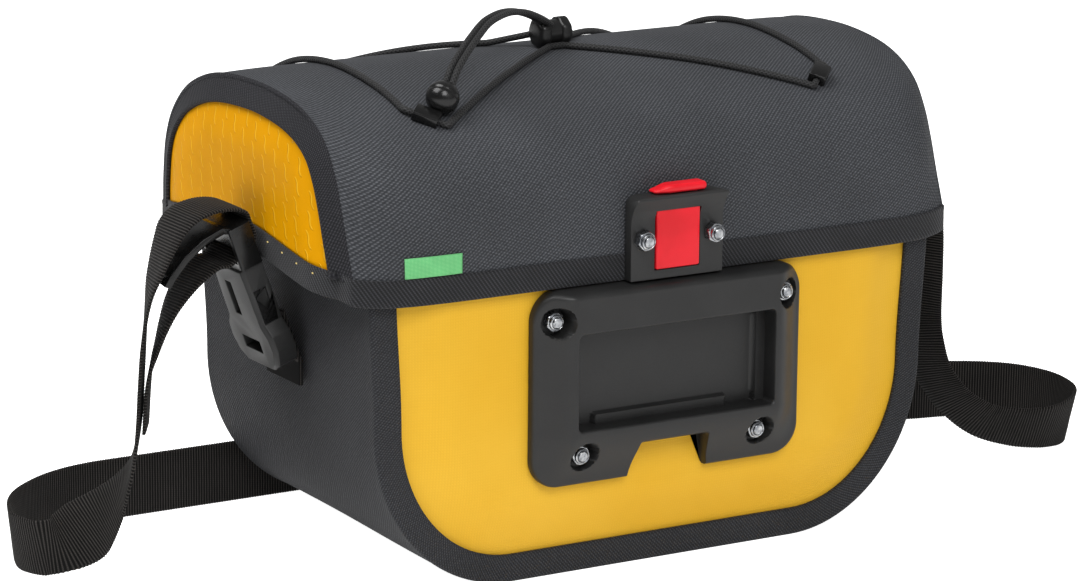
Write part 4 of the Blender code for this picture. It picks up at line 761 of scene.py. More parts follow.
@dataclass
class Body:
    """The bag's body: a gusset band round two yellow panels."""

    width: float = 253 * MM
    depth: float = 146 * MM
    height: float = 139 * MM
    corner_reach: float = 60 * MM
    corner_rise: float = 66 * MM
    side_taper: float = 2.5 * MM
    rear_taper: float = 3.5 * MM
    hem: float = 124 * MM
    lip: float = 11 * MM
    gusset_wall: float = 1.6 * MM
    panel_wall: float = 1.4 * MM
    clearance: float = 0.3 * MM
    bulge_run: float = 22 * MM
    bulge_top: float = 114.5 * MM
    bulge_fade: float = 14 * MM
    fold_start: float = 2.2 * MM
    fold_radius: float = 1.6 * MM
    side_hollow: float = 0.9 * MM

    def half_width(self, z: np.ndarray, share: np.ndarray) -> np.ndarray:
        """Half the width at a height, narrower below and towards the far side."""
        lower = 1 - ease(z, self.corner_rise, self.hem)
        return self.width / 2 - self.side_taper * lower - self.rear_taper * share

    def outline(self, inset: np.ndarray, share: np.ndarray) -> np.ndarray:
        """The body's outline, down the left side, round the corners and up the right side.

        The side is straight down to the corner's rise. The corner is a quarter ellipse of the corner's reach
        and rise, less the inset, and the bottom is flat.

        Args:
            inset: distances in from the body's edge, shape (count,).
            share: 0 on the plate side and 1 on the far side, shape (count,).

        Returns:
            Points (x, z) of shape (count, outline points, 2).
        """
        inset, share = inset[:, None], share[:, None]
        z_side = np.linspace(self.height, self.corner_rise, 22, endpoint=False)[None] + 0 * inset
        x_side = self.half_width(z_side, share) - inset
        angle = np.linspace(0, math.pi / 2, 30)[None]
        centre = self.half_width(np.array(self.corner_rise), share) - self.corner_reach
        x_turn = centre + (self.corner_reach - inset) * np.cos(angle)
        z_turn = self.corner_rise - (self.corner_rise - inset) * np.sin(angle)
        flat = np.linspace(1, 0, 14)[None, 1:]
        x_flat, z_flat = centre * flat, inset + 0 * flat
        x, z = np.concatenate([x_side, x_turn, x_flat], 1), np.concatenate([z_side, z_turn, z_flat], 1)
        right = np.stack([x, z], -1)
        left = right[:, :-1] * [-1, 1]
        return np.concatenate([left, right[:, ::-1]], 1)

    def gusset(self) -> bpy.types.Object:
        """The grey band with its two lips.

        A section runs along the lip, round a quarter circle and over the wall to the middle, and is mirrored
        there. The two upright walls are pushed in a little, by a smooth wave.

        Returns:
            The band.
        """
        front = -self.depth / 2
        lip_in = np.linspace(self.lip, self.fold_start, 7)
        turn = np.linspace(0, math.pi / 2, 7)
        bend_in, bend_y = self.fold_radius * (1 - np.sin(turn)), self.fold_radius * (1 - np.cos(turn))
        run = np.linspace(front + 2.4 * MM, 0, 22)
        hollow = 0.5 * MM * ease(run, front, front + 6 * MM) - 0.25 * MM
        inset = np.concatenate([lip_in, bend_in, hollow])
        y = np.concatenate([front + 0 * lip_in, front + bend_y, run])
        inset = np.concatenate([inset, inset[-2::-1]])
        y = np.concatenate([y, -y[-2::-1]])
        grid = self.outline(np.maximum(inset, 0), (y - front) / self.depth)
        points = np.stack([grid[..., 0], np.broadcast_to(y[:, None], grid.shape[:2]), grid[..., 1]], -1)
        sides = np.sin(math.pi * np.clip((y - front) / self.depth, 0, 1))[:, None]
        ripple = np.sin(points[..., 2] / (23 * MM) + points[..., 1] / (31 * MM)) * 0.5 + 0.5
        above_floor = points[..., 2] > 0
        points[..., 0] -= np.sign(points[..., 0]) * self.side_hollow * sides * ripple * above_floor
        piece = surface("gusset", points, sheet_map(points), (0, 0, self.height))
        thicken(piece, self.gusset_wall)
        ground, thread = (0.014, 0.0145, 0.0165), (0.040, 0.041, 0.046)
        cloth = CoatedCloth(use="gusset", ground=ground, thread=thread, pitch=1.05 * MM)
        return settle(piece, cloth, Layout.CLOTH, "body_gusset")

    def panel(self, name: str, node: str, side: int, bulge: float) -> bpy.types.Object:
        """A yellow panel swelling out between the gusset's lips.

        Its y is the lip's back plus bulge times a smooth step of the inset, fading towards the top. Inside
        the swelling each column runs straight from the outline to a spine on the middle line, which stands
        higher over the floor than the outline does.

        Args:
            name: the piece's name.
            node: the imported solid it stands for.
            side: -1 on the plate side and 1 on the far side.
            bulge: how far it swells.

        Returns:
            The panel.
        """
        behind = self.gusset_wall + self.clearance
        insets = np.concatenate([[behind], np.linspace(self.lip, self.lip + self.bulge_run, 16)])
        grid = self.outline(insets, np.full(len(insets), 0.0 if side < 0 else 1.0))
        x, z = grid[..., 0], grid[..., 1]
        swell = bulge * ease(insets, self.lip, self.lip + self.bulge_run)[:, None]
        swell = swell * (1 - ease(z, self.bulge_top, self.bulge_top + self.bulge_fade))
        base = self.depth / 2 - behind
        inner = np.linspace(1, 0, 24)[1:, None]
        spine = self.height - 0.7 * (self.height - z[-1:])
        x = np.concatenate([x, inner * x[-1:]])
        z = np.concatenate([z, inner * z[-1:] + (1 - inner) * spine])
        swell = np.concatenate([swell, swell[-1:] + 0 * inner])
        ripple = 0.25 * MM * np.sin(x / (17 * MM) + z / (29 * MM)) * np.sin(z / (13 * MM)) * (swell / bulge)
        points = np.stack([x, side * (base + swell + ripple), z], -1)
        piece = surface(name, points, np.stack([x, z], -1), (0, 0, self.height / 2))
        merge(piece)
        thicken(piece, self.panel_wall)
        return settle(piece, Tarpaulin(), Layout.CLOTH, node)


def ease(value: np.ndarray, low: float, high: float) -> np.ndarray:
    """0 below low, 1 above high and 3 s^2 - 2 s^3 of the share s between them."""
    share = np.clip((value - low) / (high - low), 0.0, 1.0)
    return share * share * (3 - 2 * share)


def merge(piece: bpy.types.Object) -> None:
    """Joins points of the piece that lie on each other."""
    bm = bmesh.new()
    bm.from_mesh(piece.data)
    bmesh.ops.remove_doubles(bm, verts=bm.verts, dist=0.005 * MM)
    bm.to_mesh(piece.data)
    bm.free()


# Lid


@dataclass
class Lid:
    """The arched lid: a grey hood, its yellow ends, the black hem tape and a small label."""

    width: float = 267 * MM
    depth: float = 166 * MM
    offset: float = 3.3 * MM
    rise: float = 66 * MM
    hem: float = 124 * MM
    power: float = 13.0
    wall: float = 1.6 * MM
    border: float = 10 * MM
    flare: float = 4 * MM
    tuck: float = 5 * MM
    end_bulge: float = 3.4 * MM
    end_run: float = 16 * MM
    clearance: float = 0.3 * MM
    end_wall: float = 1.4 * MM
    bead: float = 0.55 * MM
    bead_run: float = 0.5 * MM
    arch_rise: float = 8 * MM
    arch_lift: float = 2.2 * MM
    arch_peak: float = 12 * MM
    rows: tuple[tuple[float, float, float, float], ...] = (
        (-1.000, 0.000, -0.905, 0.030), (-1.000, 0.190, -0.845, 0.235), (-0.995, 0.385, -0.790, 0.435),
        (-0.945, 0.575, -0.730, 0.605), (-0.825, 0.730, -0.640, 0.758), (-0.630, 0.848, -0.488, 0.871),
        (-0.365, 0.940, -0.280, 0.935), (0.020, 0.990, 0.020, 0.960), (0.370, 0.945, 0.390, 0.925),
        (0.660, 0.815, 0.670, 0.805), (0.865, 0.630, 0.840, 0.630), (0.968, 0.405, 0.925, 0.435),
        (1.000, 0.180, 0.955, 0.212), (1.000, 0.000, 0.962, 0.030),
    )
    lines: np.ndarray = field(init=False, repr=False)

    def __post_init__(self) -> None:
        """Smooths the table of the hood's two sections into one set of even steps."""
        self.lines = smooth_line(np.array(self.rows), 0.022)

    def end_share(self, x: np.ndarray) -> np.ndarray:
        """0 along the middle, rising to 1 at the ends: the reach, to the lid's power."""
        return np.minimum(np.abs(x) / (self.width / 2), 1.0) ** self.power

    def sections(self, x: np.ndarray) -> np.ndarray:
        """The hood's sections (y, z) at each x, a blend of its middle section and its end section.

        Args:
            x: places along the bag, shape (count,).

        Returns:
            Points of shape (count, section points, 2), from the plate side's hem over the top to the far hem.
        """
        share = self.end_share(x)[:, None, None]
        blend = self.lines[None, :, :2] * (1 - share) + self.lines[None, :, 2:] * share
        return blend * [self.depth / 2, self.rise] + [self.offset, self.hem]

    def stations(self) -> np.ndarray:
        """Places along the bag, close together round the two folds."""
        start = math.asin(0.86**3)
        fold = np.sin(np.linspace(start, math.pi / 2, 26)) ** (1 / 3)
        right = np.concatenate([np.linspace(0, fold[0], 60, endpoint=False), fold]) * self.width / 2
        return np.concatenate([-right[:0:-1], right])

    def inset(self, section: np.ndarray, insets: np.ndarray) -> np.ndarray:
        """The section moved inwards by each inset, its two feet kept on the arched hem."""
        ahead = unit(np.gradient(section, axis=0))
        inward = np.stack([ahead[:, 1], -ahead[:, 0]], -1)
        inward[0], inward[-1] = (1.0, 0.0), (-1.0, 0.0)
        moved = section[None] + insets[:, None, None] * inward[None]
        moved[..., 1] = np.maximum(moved[..., 1], self.arch(moved[..., 0]))
        return moved

    def arch(self, y: np.ndarray) -> np.ndarray:
        """The height of the lid's lower edge along its ends: a cosine arch, highest past the middle."""
        share = np.minimum(np.abs(y - self.arch_peak) / (0.48 * self.depth), 1.0)
        return self.hem + self.arch_lift + self.arch_rise * np.cos(share * math.pi / 2) ** 2

    def hood(self) -> bpy.types.Object:
        """The grey hood, folded round both ends into a border that flares out over the yellow. The fold and
        border get a darker copy of the hood cloth: painted shade for their sideways faces, partly the border's
        own darker tone.
        """
        x = self.stations()
        middle = self.sections(x)
        end = self.sections(np.array([self.width / 2]))[0]
        share = np.linspace(0, 1, 9)[1:]
        edge = self.inset(end, share * self.border)
        out = self.width / 2 + self.flare * share**1.2
        x_all = np.concatenate([-out[::-1], x, out])
        ahead = unit(np.gradient(end, axis=0))
        raised = self.bead * np.exp(-(((self.width / 2 - np.abs(x)) / self.bead_run) ** 2))
        middle = middle + raised[:, None, None] * np.stack([-ahead[:, 1], ahead[:, 0]], -1)[None]
        points = swept(x_all, np.concatenate([edge[::-1], middle, edge]))
        wander = np.sin(points[..., 0] / (41 * MM) + 1.0)
        sag = wander * np.sin((points[..., 2] - self.hem) / self.rise * math.pi)
        points[..., 1] += 0.5 * MM * sag * (np.abs(points[..., 0]) < self.width * 0.47)
        piece = surface("hood", points, sheet_map(points), (0, self.offset, self.hem))
        thicken(piece, self.wall)
        settle(piece, CoatedCloth(use="hood"), Layout.CLOTH, "lid_hood")
        # darker copy of the hood cloth for the fold and border: painted shade for faces turned sideways from
        # the light, partly the border's own darker tone
        border = CoatedCloth(use="border", ground=(0.006, 0.006, 0.008), thread=(0.030, 0.030, 0.035))
        piece.data.materials.append(border.material(Layout.CLOTH))
        # the rows of the fold and border, which take the painted-shade copy of the cloth
        border_painted_shade = np.abs(x_all) > self.width / 2 * 0.9975
        rows = np.repeat(border_painted_shade[1:] & border_painted_shade[:-1], points.shape[1] - 1)
        piece.data.polygons.foreach_set("material_index", rows.astype(np.int32))
        return piece

    def end_x(self, distance: np.ndarray) -> np.ndarray:
        """How far out a yellow end stands, at a distance in from the fold: a ramp, then a quarter sine."""
        under = self.width / 2 + self.flare * self.tuck / self.border - self.wall - 2 * self.clearance
        beside = self.width / 2 + self.flare - self.wall - self.clearance
        ramp = np.interp(distance, (self.tuck, self.border), (under, beside))
        share = np.clip((distance - self.border) / self.end_run, 0, 1)
        return ramp + self.end_bulge * np.sin(share * math.pi / 2)

    def end(self, name: str, node: str, side: int) -> bpy.types.Object:
        """A yellow end inside its border.

        Each column of its grid runs from the tucked edge to the arched hem. How far out a point stands
        depends on its distance to the fold.

        Args:
            name: the piece's name.
            node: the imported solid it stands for.
            side: -1 on the left and 1 on the right.

        Returns:
            The end panel.
        """
        fold = self.sections(np.array([self.width / 2]))[0]
        edge = self.inset(fold, np.array([self.tuck]))[0]
        low = self.arch(edge[:, 0]) + self.clearance
        edge[:, 1] = np.maximum(edge[:, 1], low)
        middle = self.offset + 6 * MM
        foot_y = middle + (edge[:, 0] - middle) * 0.97
        foot = np.stack([foot_y, self.arch(foot_y) + self.clearance], -1)
        share = (np.linspace(0, 1, 34) ** 1.3)[:, None, None]
        grid = edge[None] * (1 - share) + foot[None] * share
        gap = np.linalg.norm(grid[:, :, None] - fold[None, None], axis=-1).min(axis=-1)
        points = np.concatenate([side * self.end_x(gap)[..., None], grid], -1)
        piece = surface(name, points, grid, (0, self.offset, self.hem))
        thicken(piece, self.end_wall)
        return settle(piece, EmbossedCloth(), Layout.CLOTH, node)

    def hem_line(self) -> np.ndarray:
        """The tape's outer upper edge: along both feet of the hood and under both ends."""
        x = self.stations()
        section = self.sections(x)
        gap = (self.clearance + 0.9 * MM * self.end_share(x))[:, None]
        proud = 0.4 * MM
        near = np.concatenate([x[:, None], section[:, 0, :1] - proud, section[:, 0, 1:] - gap], -1)
        far = np.concatenate([x[:, None], section[:, -1, :1] + proud, section[:, -1, 1:] - gap], -1)[::-1]
        share = np.linspace(0.05, 0.95, 60)
        y = near[-1, 1] + (far[0, 1] - near[-1, 1]) * share
        reach = np.minimum(y - near[-1, 1], far[0, 1] - y)
        out = self.end_x(np.maximum(reach, self.tuck)) + proud
        right = np.stack([out, y, self.arch(y) - self.clearance], -1)
        return np.concatenate([near, right, far, right[::-1] * [-1, 1, 1]])

    def tape(self) -> bpy.types.Object:
        """The black hem tape: a rounded profile of (out, up), in mm, carried round the hem line."""
        line = self.hem_line()
        line = smooth_line(np.concatenate([line, line[:1]]), 2.2 * MM)[:-1]
        around = np.concatenate([line[-1:], line, line[:1]])
        ahead = np.gradient(around, axis=0)[1:-1]
        ahead[:, 2] = 0
        out = np.cross(unit(ahead), [0.0, 0.0, 1.0])
        profile = np.array(
            [
                (-0.35, 0.1), (-0.35, 1.2), (-0.15, 1.6), (0.25, 1.65), (0.5, 1.35), (0.55, 0.6),
                (0.4, -0.4), (0.45, -3.5), (0.45, -6.5), (0.5, -7.9), (0.3, -8.6), (-0.1, -8.8),
                (-2.6, -8.8), (-3.0, -8.4), (-3.0, -0.3), (-2.7, 0.05),
            ]
        ) * MM
        points = line[:, None] + profile[None, :, :1] * out[:, None] + profile[None, :, 1:] * [0, 0, 1]
        run = along(np.concatenate([line, line[:1]]))
        round_it = along(np.concatenate([profile, profile[:1]]))
        uv = np.stack(np.meshgrid(run, round_it, indexing="ij"), -1)
        piece = surface("hem_binding", points, uv, ring=True, loop=True)
        return settle(piece, TwillTape(), Layout.CLOTH, "hem_tape")

    def stitches(self) -> bpy.types.Object:
        """Pale stitch points on the tape, just under each yellow end: small beads, nine to an end.

        A bead's surface at polar angle p and turn t is (0.3 sin p cos t, 0.65 cos p, 0.4 sin p sin t), in mm
        from its middle.

        Returns:
            All the beads as one piece.
        """
        count, levels, points_round = 9, 6, 8
        y = np.tile(np.linspace(-52, 40, count) * MM, 2)
        side = np.repeat([-1.0, 1.0], count)
        near = self.sections(np.array([self.width / 2]))[0]
        reach = np.minimum(y - near[0, 0], near[-1, 0] - y)
        x = self.end_x(np.maximum(reach, self.tuck)) + 0.75 * MM
        places = np.stack([side * x, y, self.arch(y) - 1.6 * MM], -1)
        polar = np.linspace(0, math.pi, levels)[:, None]
        turn = np.linspace(0, 2 * math.pi, points_round, endpoint=False)
        sine, cosine = np.sin(polar), np.cos(polar) + 0 * turn
        ball = np.stack([0.3 * sine * np.cos(turn), 0.65 * cosine, 0.4 * sine * np.sin(turn)], -1) * MM
        grid = places[:, None, None] + ball[None]
        i, j = np.meshgrid(np.arange(levels - 1), np.arange(points_round), indexing="ij")
        near, far, beside = i * points_round, (i + 1) * points_round, (j + 1) % points_round
        quads = np.stack([near + j, far + j, far + beside, near + beside], -1).reshape(-1, 4)
        first = np.arange(len(places)) * levels * points_round
        faces = (quads[None] + first[:, None, None]).reshape(-1, 4)
        mesh = bpy.data.meshes.new("hem_stitches")
        mesh.from_pydata(grid.reshape(-1, 3).tolist(), [], faces.tolist())
        piece = bpy.data.objects.new("hem_stitches", mesh)
        bpy.context.scene.collection.objects.link(piece)
        merge(piece)
        mesh.shade_smooth()
        return settle(piece, StitchThread(), Layout.SOLID)

    def label(self) -> bpy.types.Object:
        """The small bare label, a patch held just off the hood over the tape."""
        x = np.linspace(-115.15, -91.65, 26) * MM
        z = np.linspace(125.8, 133.4, 9) * MM
        front = self.sections(x)[:, : len(self.lines) // 3]
        y = np.stack([np.interp(z, section[:, 1], section[:, 0]) for section in front])
        grid_x, grid_z = np.meshgrid(x, z, indexing="ij")
        points = np.stack([grid_x, y - 0.95 * MM, grid_z], -1)
        piece = surface("green_label", points, sheet_map(points), (0, 0, self.hem))
        thicken(piece, 0.7 * MM)
        return settle(piece, WovenLabel(), Layout.CLOTH, "side_tab")

    def hinge(self) -> bpy.types.Object:
        """The cloth strip at the far side, from over the body's edge to the hood's inner face."""
        section = np.array(
            [(71.4, 132.0), (71.3, 137.4), (74.5, 139.0), (82.5, 137.2), (84.3, 134.2), (84.3, 127.5)]
        )
        points = swept(np.linspace(-100, 100, 60) * MM, smooth_line(section * MM, 1.5 * MM))
        piece = surface("hinge_strip", points, sheet_map(points), (0, 78 * MM, self.hem))
        thicken(piece, 1.2 * MM)
        return settle(piece, CoatedCloth(use="hinge"), Layout.CLOTH, "lid_hinge")

    def height(self, x: np.ndarray, y: np.ndarray) -> np.ndarray:
        """The hood's height at places on its top.

        The step along the section is found by repeating: step + (y - section's y at that step) / 2 mm.

        Args:
            x: places along the bag.
            y: places across it.

        Returns:
            Heights of the same shape.
        """
        share = self.end_share(x)
        steps = np.arange(len(self.lines), dtype=float)
        step = np.interp(y, self.offset + self.lines[:, 0] * self.depth / 2 + steps * 1e-9, steps)
        for _ in range(6):
            now = [np.interp(step, steps, column) for column in self.lines.T]
            depth = now[0] * (1 - share) + now[2] * share
            step = np.clip(step + (y - self.offset - depth * self.depth / 2) / (2.0 * MM), 0, len(steps) - 1)
        now = [np.interp(step, steps, column) for column in self.lines.T]
        return self.hem + self.rise * (now[1] * (1 - share) + now[3] * share)

    def seat(self, x: np.ndarray, y: np.ndarray, lift: float) -> np.ndarray:
        """The height of a cord's middle whose distance to the sloping hood is the lift."""
        slope = (self.height(x, y + 3 * MM) - self.height(x, y - 3 * MM)) / (6 * MM)
        return self.height(x, y) + lift * np.hypot(1, slope)


# Fittings


@dataclass
class Plate:
    """The moulded mounting plate with its four lock nuts."""

    half: float = 60.5
    foot: float = 37.0
    top: float = 114.5
    corner: float = 12.0
    opening: tuple[float, float, float, float] = (44.4, 60.0, 97.5, 2.0)
    back_y: float = -76.5
    rim: float = 4.0
    face: float = 11.5
    flank: float = 15.0
    foot_run: float = 21.5
    crown: float = 3.2
    seat: float = 2.2
    seat_edge: tuple[float, float] = (5.25, 5.95)
    across_flats: float = 7 * MM
    spots: tuple[tuple[float, float], ...] = ((-51.9, 102.6), (51.9, 102.6), (-39.9, 49.0), (39.9, 49.0))

    def build(self) -> None:
        """Makes the plate and its nuts."""
        self.slab()
        for number in range(1, 5):
            self.nut(f"nut_{number}", f"plate_nut_{number}")

    def rings(self) -> tuple[np.ndarray, np.ndarray]:
        """The plate's outline with its notch, and the recess's outline, point for point.

        Each stretch of one has a stretch of the other with as many points. The right half is made from the
        notch's middle to the top's middle, and mirrored.

        Returns:
            Two arrays of (x, z) in millimetres.
        """
        half, corner, foot, top = self.half, self.corner, self.foot, self.top
        wide, low, high, small = self.opening
        outer = [
            stretch((0, 51.5), (14.6, 51.5), 20),
            stretch((14.6, 51.5), (15.6, 50.6), 3),
            stretch((15.6, 50.6), (18, foot), 18),
            stretch((18, foot), (half - corner, foot), 42),
            quarter((half - corner, foot + corner), corner, -90),
            stretch((half, foot + corner), (half, top - corner), 76),
            quarter((half - corner, top - corner), corner, 0),
            stretch((half - corner, top), (0, top), 60),
            [(0, top)],
        ]
        inner = [
            stretch((0, low), (14.6, low), 20),
            stretch((14.6, low), (15.2, low), 3),
            stretch((15.2, low), (17.5, low), 18),
            stretch((17.5, low), (wide - small, low), 42),
            quarter((wide - small, low + small), small, -90),
            stretch((wide, low + small), (wide, high - small), 76),
            quarter((wide - small, high - small), small, 0),
            stretch((wide - small, high), (0, high), 60),
            [(0, high)],
        ]
        right, hole = np.concatenate(outer), np.concatenate(inner)
        mirror = np.array([-1, 1])
        return (
            np.concatenate([right, right[-2:0:-1] * mirror]),
            np.concatenate([hole, hole[-2:0:-1] * mirror]),
        )

    def relief(self, x: np.ndarray, z: np.ndarray) -> np.ndarray:
        """The height of the plate's face over its back.

        It is the rim plus the mesa, which rises by smooth steps of the distances from the sides and the foot
        and by a quarter ellipse at the top. Close to a nut's middle it drops to the nut's seat.

        Args:
            x: places along the plate.
            z: heights.

        Returns:
            Heights of the same shape, in millimetres.
        """
        side = ease(self.half - np.abs(x), 0.0, self.flank)
        foot = ease(z - self.foot, 0.0, self.foot_run)
        below = np.clip((self.top - z) / self.crown, 0, 1)
        height = self.rim + (self.face - self.rim) * side * foot * np.sqrt(below * (2 - below))
        for spot_x, spot_z in self.spots:
            near = np.hypot(x - spot_x, z - spot_z)
            height = self.seat + (height - self.seat) * ease(near, *self.seat_edge)
        return height

    def slab(self) -> bpy.types.Object:
        """The plate, ring by ring: back, wall, rounded rim, face, recess wall and recess floor.

        The face's rings lead from the outline to the recess's, and the floor's shrink to the recess's
        middle. A low ledge along the floor's foot and a step at its right end are smooth steps there.
        """
        outer, inner = self.rings()
        middle = np.array([0.0, (self.opening[1] + self.opening[2]) / 2])
        rim, level, brink = np.linspace(0, 0.1, 7), np.linspace(0.1, 0.94, 44), np.linspace(0.94, 1, 6)
        share = np.concatenate([rim, level[1:], brink[1:]])
        face = towards(outer, inner, share)
        height = self.relief(face[..., 0], face[..., 1])
        gap = np.linalg.norm(inner - outer, axis=-1)[None]
        for near, radius in ((share[:, None] * gap, 1.5), ((1 - share)[:, None] * gap, 0.9)):
            bent = 1 - np.clip(near / radius, 0, 1)
            height = height - radius * (1 - np.sqrt(1 - bent**2))
        fine, coarse = np.linspace(0.02, 0.3, 20), np.linspace(0.3, 0.985, 12)
        share = np.concatenate([[0.004, 0.006, 0.012], fine, coarse[1:]])
        floor = towards(inner, middle, share)
        x, z = floor[..., 0], floor[..., 1]
        ledge = 2.4 * ease(-z, -64.4, -63.8) * ease(x, -33.4, -32.8) * ease(-x, -27.0, -26.4)
        floor_height = 1.4 + np.maximum(ledge, 2.2 * ease(x, 39.4, 40.0))
        share = np.linspace(0, 1, 5)[1:-1]
        wall = towards(inner, middle, 0.004 * share)
        wall_height = height[-1] * (1 - share[:, None]) + floor_height[0] * share[:, None]
        back = towards(outer, middle, np.array([0.97, 0.02, 0.0, 0.0]))
        back_height = np.broadcast_to(np.array([0.0, 0.0, 0.4, 1.4])[:, None], back.shape[:2])
        flat = np.concatenate([back, face, wall, floor])
        raised = np.concatenate([back_height, height, wall_height, floor_height])
        points = np.stack([flat[..., 0], self.back_y - raised, flat[..., 1]], -1)
        return moulding("plate", points, MouldedPlastic(use="plate", gloss=0.36), "mounting_plate")

    def nut(self, name: str, node: str) -> bpy.types.Object:
        """A lock nut.

        Its radius at angle a is flat / cos((a mod 60) - 30) on the hexagon, cut by a rising cone at its
        chamfers, and round on the collar, whose inner rim dips before the bolt's end.

        Args:
            name: the piece's name.
            node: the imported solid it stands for.

        Returns:
            The nut.
        """
        low, high = (np.array(corner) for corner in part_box(node))
        centre = (low + high) / 2
        rows = np.array(
            [
                (4.04, 0.0, 1), (4.04, 0.15, 1), (4.04, 2.55, 1), (3.75, 2.95, 1), (3.5, 3.15, 1),
                (3.1, 3.2, 0), (3.1, 3.7, 0), (3.0, 4.2, 0), (2.75, 4.45, 0), (2.5, 4.5, 0), (2.3, 4.35, 0),
                (2.1, 4.0, 0), (2.0, 4.0, 0), (2.0, 4.75, 0), (1.75, 4.98, 0), (0.9, 5.0, 0),
            ]
        )
        angle = np.linspace(0, 2 * math.pi, 48, endpoint=False) + 0.12 * low[0] / MM
        hexagon = self.across_flats / 2 / MM / np.cos(np.mod(angle, math.pi / 3) - math.pi / 6)
        radius = np.where(rows[:, 2:] > 0, np.minimum(rows[:, :1], hexagon[None]), rows[:, :1])
        profile = np.stack([np.ones(len(rows)), rows[:, 1] * MM], -1)
        place = np.array([centre[0], high[1], centre[2]])
        frame = frame_along(place, np.array([0.0, -1.0, 0.0]))
        piece = turned(name, profile, radius * MM, frame)
        piece.data.set_sharp_from_angle(angle=SHARP["nut"])
        return settle(piece, Zinc(), Layout.SOLID, node)


@dataclass
class Latch:
    """The latch on the hood's hem: a black bracket with a visor, and its red slider.

    The slider's measures are in millimetres.
    """

    edge: float = 0.6 * MM
    face_y: float = -85.79
    back_y: float = -82.19
    half: float = 9.75
    thumb_y: float = -84.7
    thumb_foot: float = 148.35
    thumb_half: float = 11.4

    def slider(self) -> bpy.types.Object:
        """The slider: a block in the bracket's channel, and the thumb piece over the visor.

        The thumb piece is lower and thinner at its left end.

        Returns:
            The block.
        """
        ring = rounded_box_ring((self.face_y + self.back_y) / 2, 133.2, 1.8, 14.35, 0.7)
        block = bar(rounded_run(self.half, 0.7, 9), ring, 0.7)
        slider = moulding("slider", block, RedPlastic(), "red_latch", ride=Ride.LATCH)
        ring = rounded_box_ring(self.thumb_y, 150.0, 3.4, 1.65, 1.3)
        thumb = bar(rounded_run(self.thumb_half, 1.5, 26), ring, 1.4)
        low = 1 - ease(thumb[..., 0], -self.thumb_half, -4.0)
        thumb[..., 2] = self.thumb_foot + (thumb[..., 2] - self.thumb_foot) * (1 - 0.55 * low)
        thumb[..., 1] += 1.6 * low * (thumb[..., 1] < self.thumb_y)
        moulding("thumb_piece", thumb, RedPlastic(), ride=Ride.LATCH)
        return slider

    def build(self, plate: Plate) -> None:
        """Makes the bracket, its two nuts and the slider."""
        softened("latch_bracket", "bracket", self.edge, MouldedPlastic())
        self.slider()
        for number in (1, 2):
            plate.nut(f"bracket_lock_nut_{number}", f"bracket_nut_{number}")


